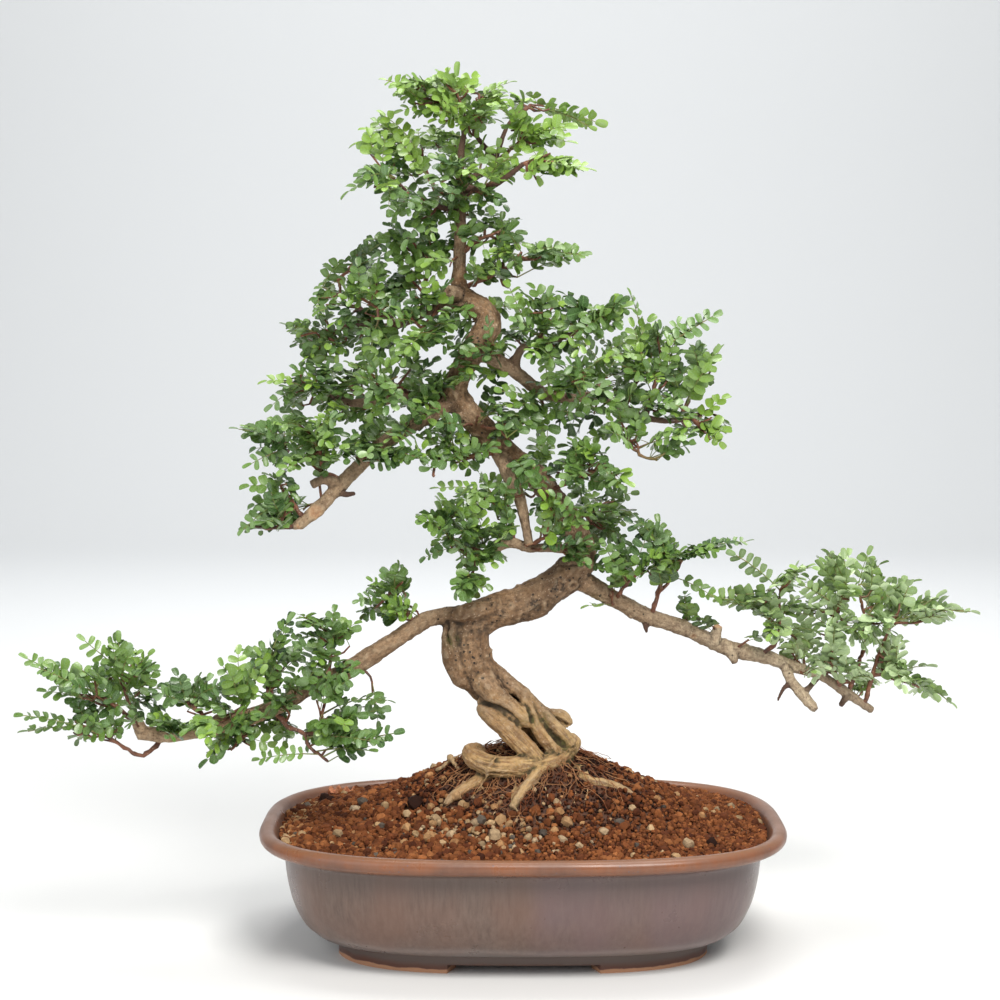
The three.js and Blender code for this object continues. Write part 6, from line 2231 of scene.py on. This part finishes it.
    def rootlets(self, finish: Material) -> None:
        """Models the hair roots that wander from the trunk's foot over the earth.

        Args:
            finish: their finish.
        """
        chances = np.random.default_rng(self.seed + 1)
        rods = []
        for _ in range(self.hairs):
            turn, start = chances.uniform(0.0, 2.0 * np.pi), chances.uniform(10.0, 62.0)
            place = np.array([2.0 + start * math.cos(turn), -4.0 + 0.75 * start * math.sin(turn)])
            way = turn + chances.normal(0.0, 0.9)
            hop, count = chances.uniform(0.5, 5.0), chances.integers(6, 15)
            points = []
            for step in range(count):
                lift = hop * math.sin(np.pi * step / (count - 1)) * chances.uniform(0.5, 1.0)
                points.append((*place, float(self.height(*place)) + 0.6 + lift))
                way += chances.normal(0.0, 0.42)
                place = place + np.array([math.cos(way), math.sin(way)]) * chances.uniform(2.0, 4.4)
            radius = chances.uniform(0.2, 0.42)
            rods.append(Rod(*smooth_path(np.array(points), np.linspace(radius, radius * 0.5, count), 1.8)))
        settle(model_rods("rootlets", rods, 0), 80.0, "bark", [], finish)

    def chip(self, finish: Material) -> None:
        """Models the curled flake of orange bark at the pot's back left corner.

        Args:
            finish: its finish.
        """
        only()
        bpy.ops.mesh.primitive_grid_add(x_subdivisions=16, y_subdivisions=8, size=1.0)
        thing = bpy.context.object
        thing.name = "bark_flake"
        corners = corners_of(thing)
        ragged = cloudy(corners * 7.0)
        along, across = corners[:, 0] * 20.0, corners[:, 1] * (7.0 + 2.4 * ragged)
        curl = 5.5 * np.cos(across * 3.0) + 2.2 * np.sin(along * 4.0) + 1.4 * ragged
        corners = np.column_stack([along, across, curl])
        corners += (*self.flake, float(self.height(*self.flake)) + 2.6)
        move_corners(thing, corners * MM)
        add_modifier(thing, "SOLIDIFY", thickness=1.5 * MM)
        add_modifier(thing, "SUBSURF", levels=1, render_levels=1)
        settle(thing, 50.0, "bark", [], finish)


@dataclass
class Studio:
    """The pale floor, the soft lights and the camera at the photo's angle. Its sizes are in metres."""

    curve: float = 1.6
    run: float = 3.0
    lens: float = 74.3
    lights: tuple[tuple, ...] = (
        ("key", (0.55, -1.45, 1.7), (0.0, 0.0, 0.3), 0.9, 46.0, (1.0, 0.975, 0.94)),
        ("fill", (-1.4, -1.4, 1.1), (0.0, 0.0, 0.3), 1.6, 15.0, (0.98, 0.99, 1.0)),
        ("top", (0.1, 0.3, 1.9), (0.0, 0.0, 0.3), 1.2, 22.0, (1.0, 0.99, 0.97)),
        ("backdrop", (0.0, 1.4, 2.4), (0.0, 5.0, 0.9), 2.4, 60.0, (0.93, 0.96, 1.0)),
    )

    def build(self) -> None:
        """Builds them all."""
        self._floor()
        for light in self.lights:
            self._light(*light)
        world = bpy.data.worlds.new("soft_room")
        world.use_nodes = True
        sky = world.node_tree.nodes["Background"]
        sky.inputs["Color"].default_value = (0.92, 0.96, 1.0, 1.0)
        sky.inputs["Strength"].default_value = 0.42
        scene = bpy.context.scene
        scene.world = world
        scene.view_settings.view_transform = "Standard"
        eye = bpy.data.cameras.new("photo_angle")
        eye.lens = self.lens
        eye.sensor_width = 36.0
        scene.camera = self._hang("photo_angle", eye, EYE * MM)
        scene.camera.rotation_euler = (math.radians(90.0 - EYE_DIP), 0.0, 0.0)

    def _floor(self) -> None:
        """Lays the floor, which curves up into a wall behind the tree."""
        only()
        bpy.ops.mesh.primitive_grid_add(x_subdivisions=2, y_subdivisions=60, size=1.0)
        floor = bpy.context.object
        corners = corners_of(floor)
        corners[:, 0] *= 16.0
        run = (corners[:, 1] + 0.5) * 10.0 - 3.0
        bend = ease(run - self.run, 0.0, None)
        turn = ease(bend / self.curve, 0.0, np.pi / 2)
        corners[:, 1] = np.minimum(run, self.run) + self.curve * np.sin(turn)
        corners[:, 2] = self.curve * (1.0 - np.cos(turn)) + ease(bend - 2.513, 0.0, None)
        move_corners(floor, corners)
        floor.name = "studio_floor"
        smooth_shading(floor, 60.0)
        paper = bpy.data.materials.new("pale_paper")
        paper.use_nodes = True
        shader = paper.node_tree.nodes["Principled BSDF"]
        shader.inputs["Base Color"].default_value = (0.8, 0.8, 0.79, 1.0)
        shader.inputs["Roughness"].default_value = 0.9
        floor.data.materials.append(paper)

    @staticmethod
    def _hang(name: str, data: bpy.types.ID, place: Reading) -> Thing:
        """Puts a lamp or a camera in the scene.

        Args:
            name: the object's name.
            data: the lamp or the camera.
            place: where it goes, in metres.

        Returns:
            The object.
        """
        thing = bpy.data.objects.new(name, data)
        thing.location = place
        bpy.context.scene.collection.objects.link(thing)
        return thing

    def _light(self, name: str, place: Reading, aim: Reading, size: float, power: float, colour: Rgb) -> None:
        """Hangs one soft square light.

        Args:
            name: the light's name.
            place: where it hangs.
            aim: what it faces.
            size: its side.
            power: its power in watts.
            colour: its colour.
        """
        lamp = bpy.data.lights.new(name, "AREA")
        lamp.shape, lamp.size, lamp.energy, lamp.color = "SQUARE", size, power, colour
        way = Vector(aim) - Vector(place)
        self._hang(name, lamp, place).rotation_euler = way.to_track_quat("-Z", "Y").to_euler()


def dress_screens(finish: Material) -> None:
    """Gives the two drain screens of the solid model their plastic.

    Args:
        finish: the plastic.
    """
    for name in ("drain_screen_left", "drain_screen_right"):
        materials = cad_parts[name].data.materials
        materials.clear()
        materials.append(finish)


def main() -> None:
    """Builds the bonsai, its pot and the studio, in order."""
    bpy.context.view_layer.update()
    effects = SharedEffects()
    skeleton = Skeleton.of_limbs(LIMBS, 1.5)
    Studio().build()
    pot = Pot()
    pot.build(GlazeFinish().make(effects))
    soil = Soil(pot)
    colours = ((0.035, 0.016, 0.01), (0.14, 0.055, 0.026))
    earth = CloudyFinish("damp_earth", *colours, (260.0, 0.34, 0.66), (0.7, 0.95), (900.0, 0.9, 0.9))
    soil.bed(earth.make(effects))
    soil.grains(skeleton, GrainFinish().make(effects))
    soil.rootlets(FibreFinish().make(effects))
    flake = FibreFinish("orange_bark_flake", (0.3, 0.1, 0.045), (0.78, 0.36, 0.2), 160.0)
    soil.chip(flake.make(effects))
    plastic = FibreFinish("drain_screen_plastic", (0.012, 0.012, 0.013), (0.03, 0.03, 0.032))
    dress_screens(plastic.make(effects))
    Wood().build(skeleton, BarkFinish().make(effects))
    shapes = LeafShapes()
    shapes.model()
    finishes = [finish.make(effects) for finish in (LeafFinish(), CloudyFinish(), ShootFinish())]
    for number, (name, reading) in enumerate(TWIGS.items()):
        LeafyTwig(name, reading, number + 1).build(shapes, skeleton, finishes)
    FillingShoots().build(shapes, skeleton, finishes)


if __name__ == "__main__":
    main()
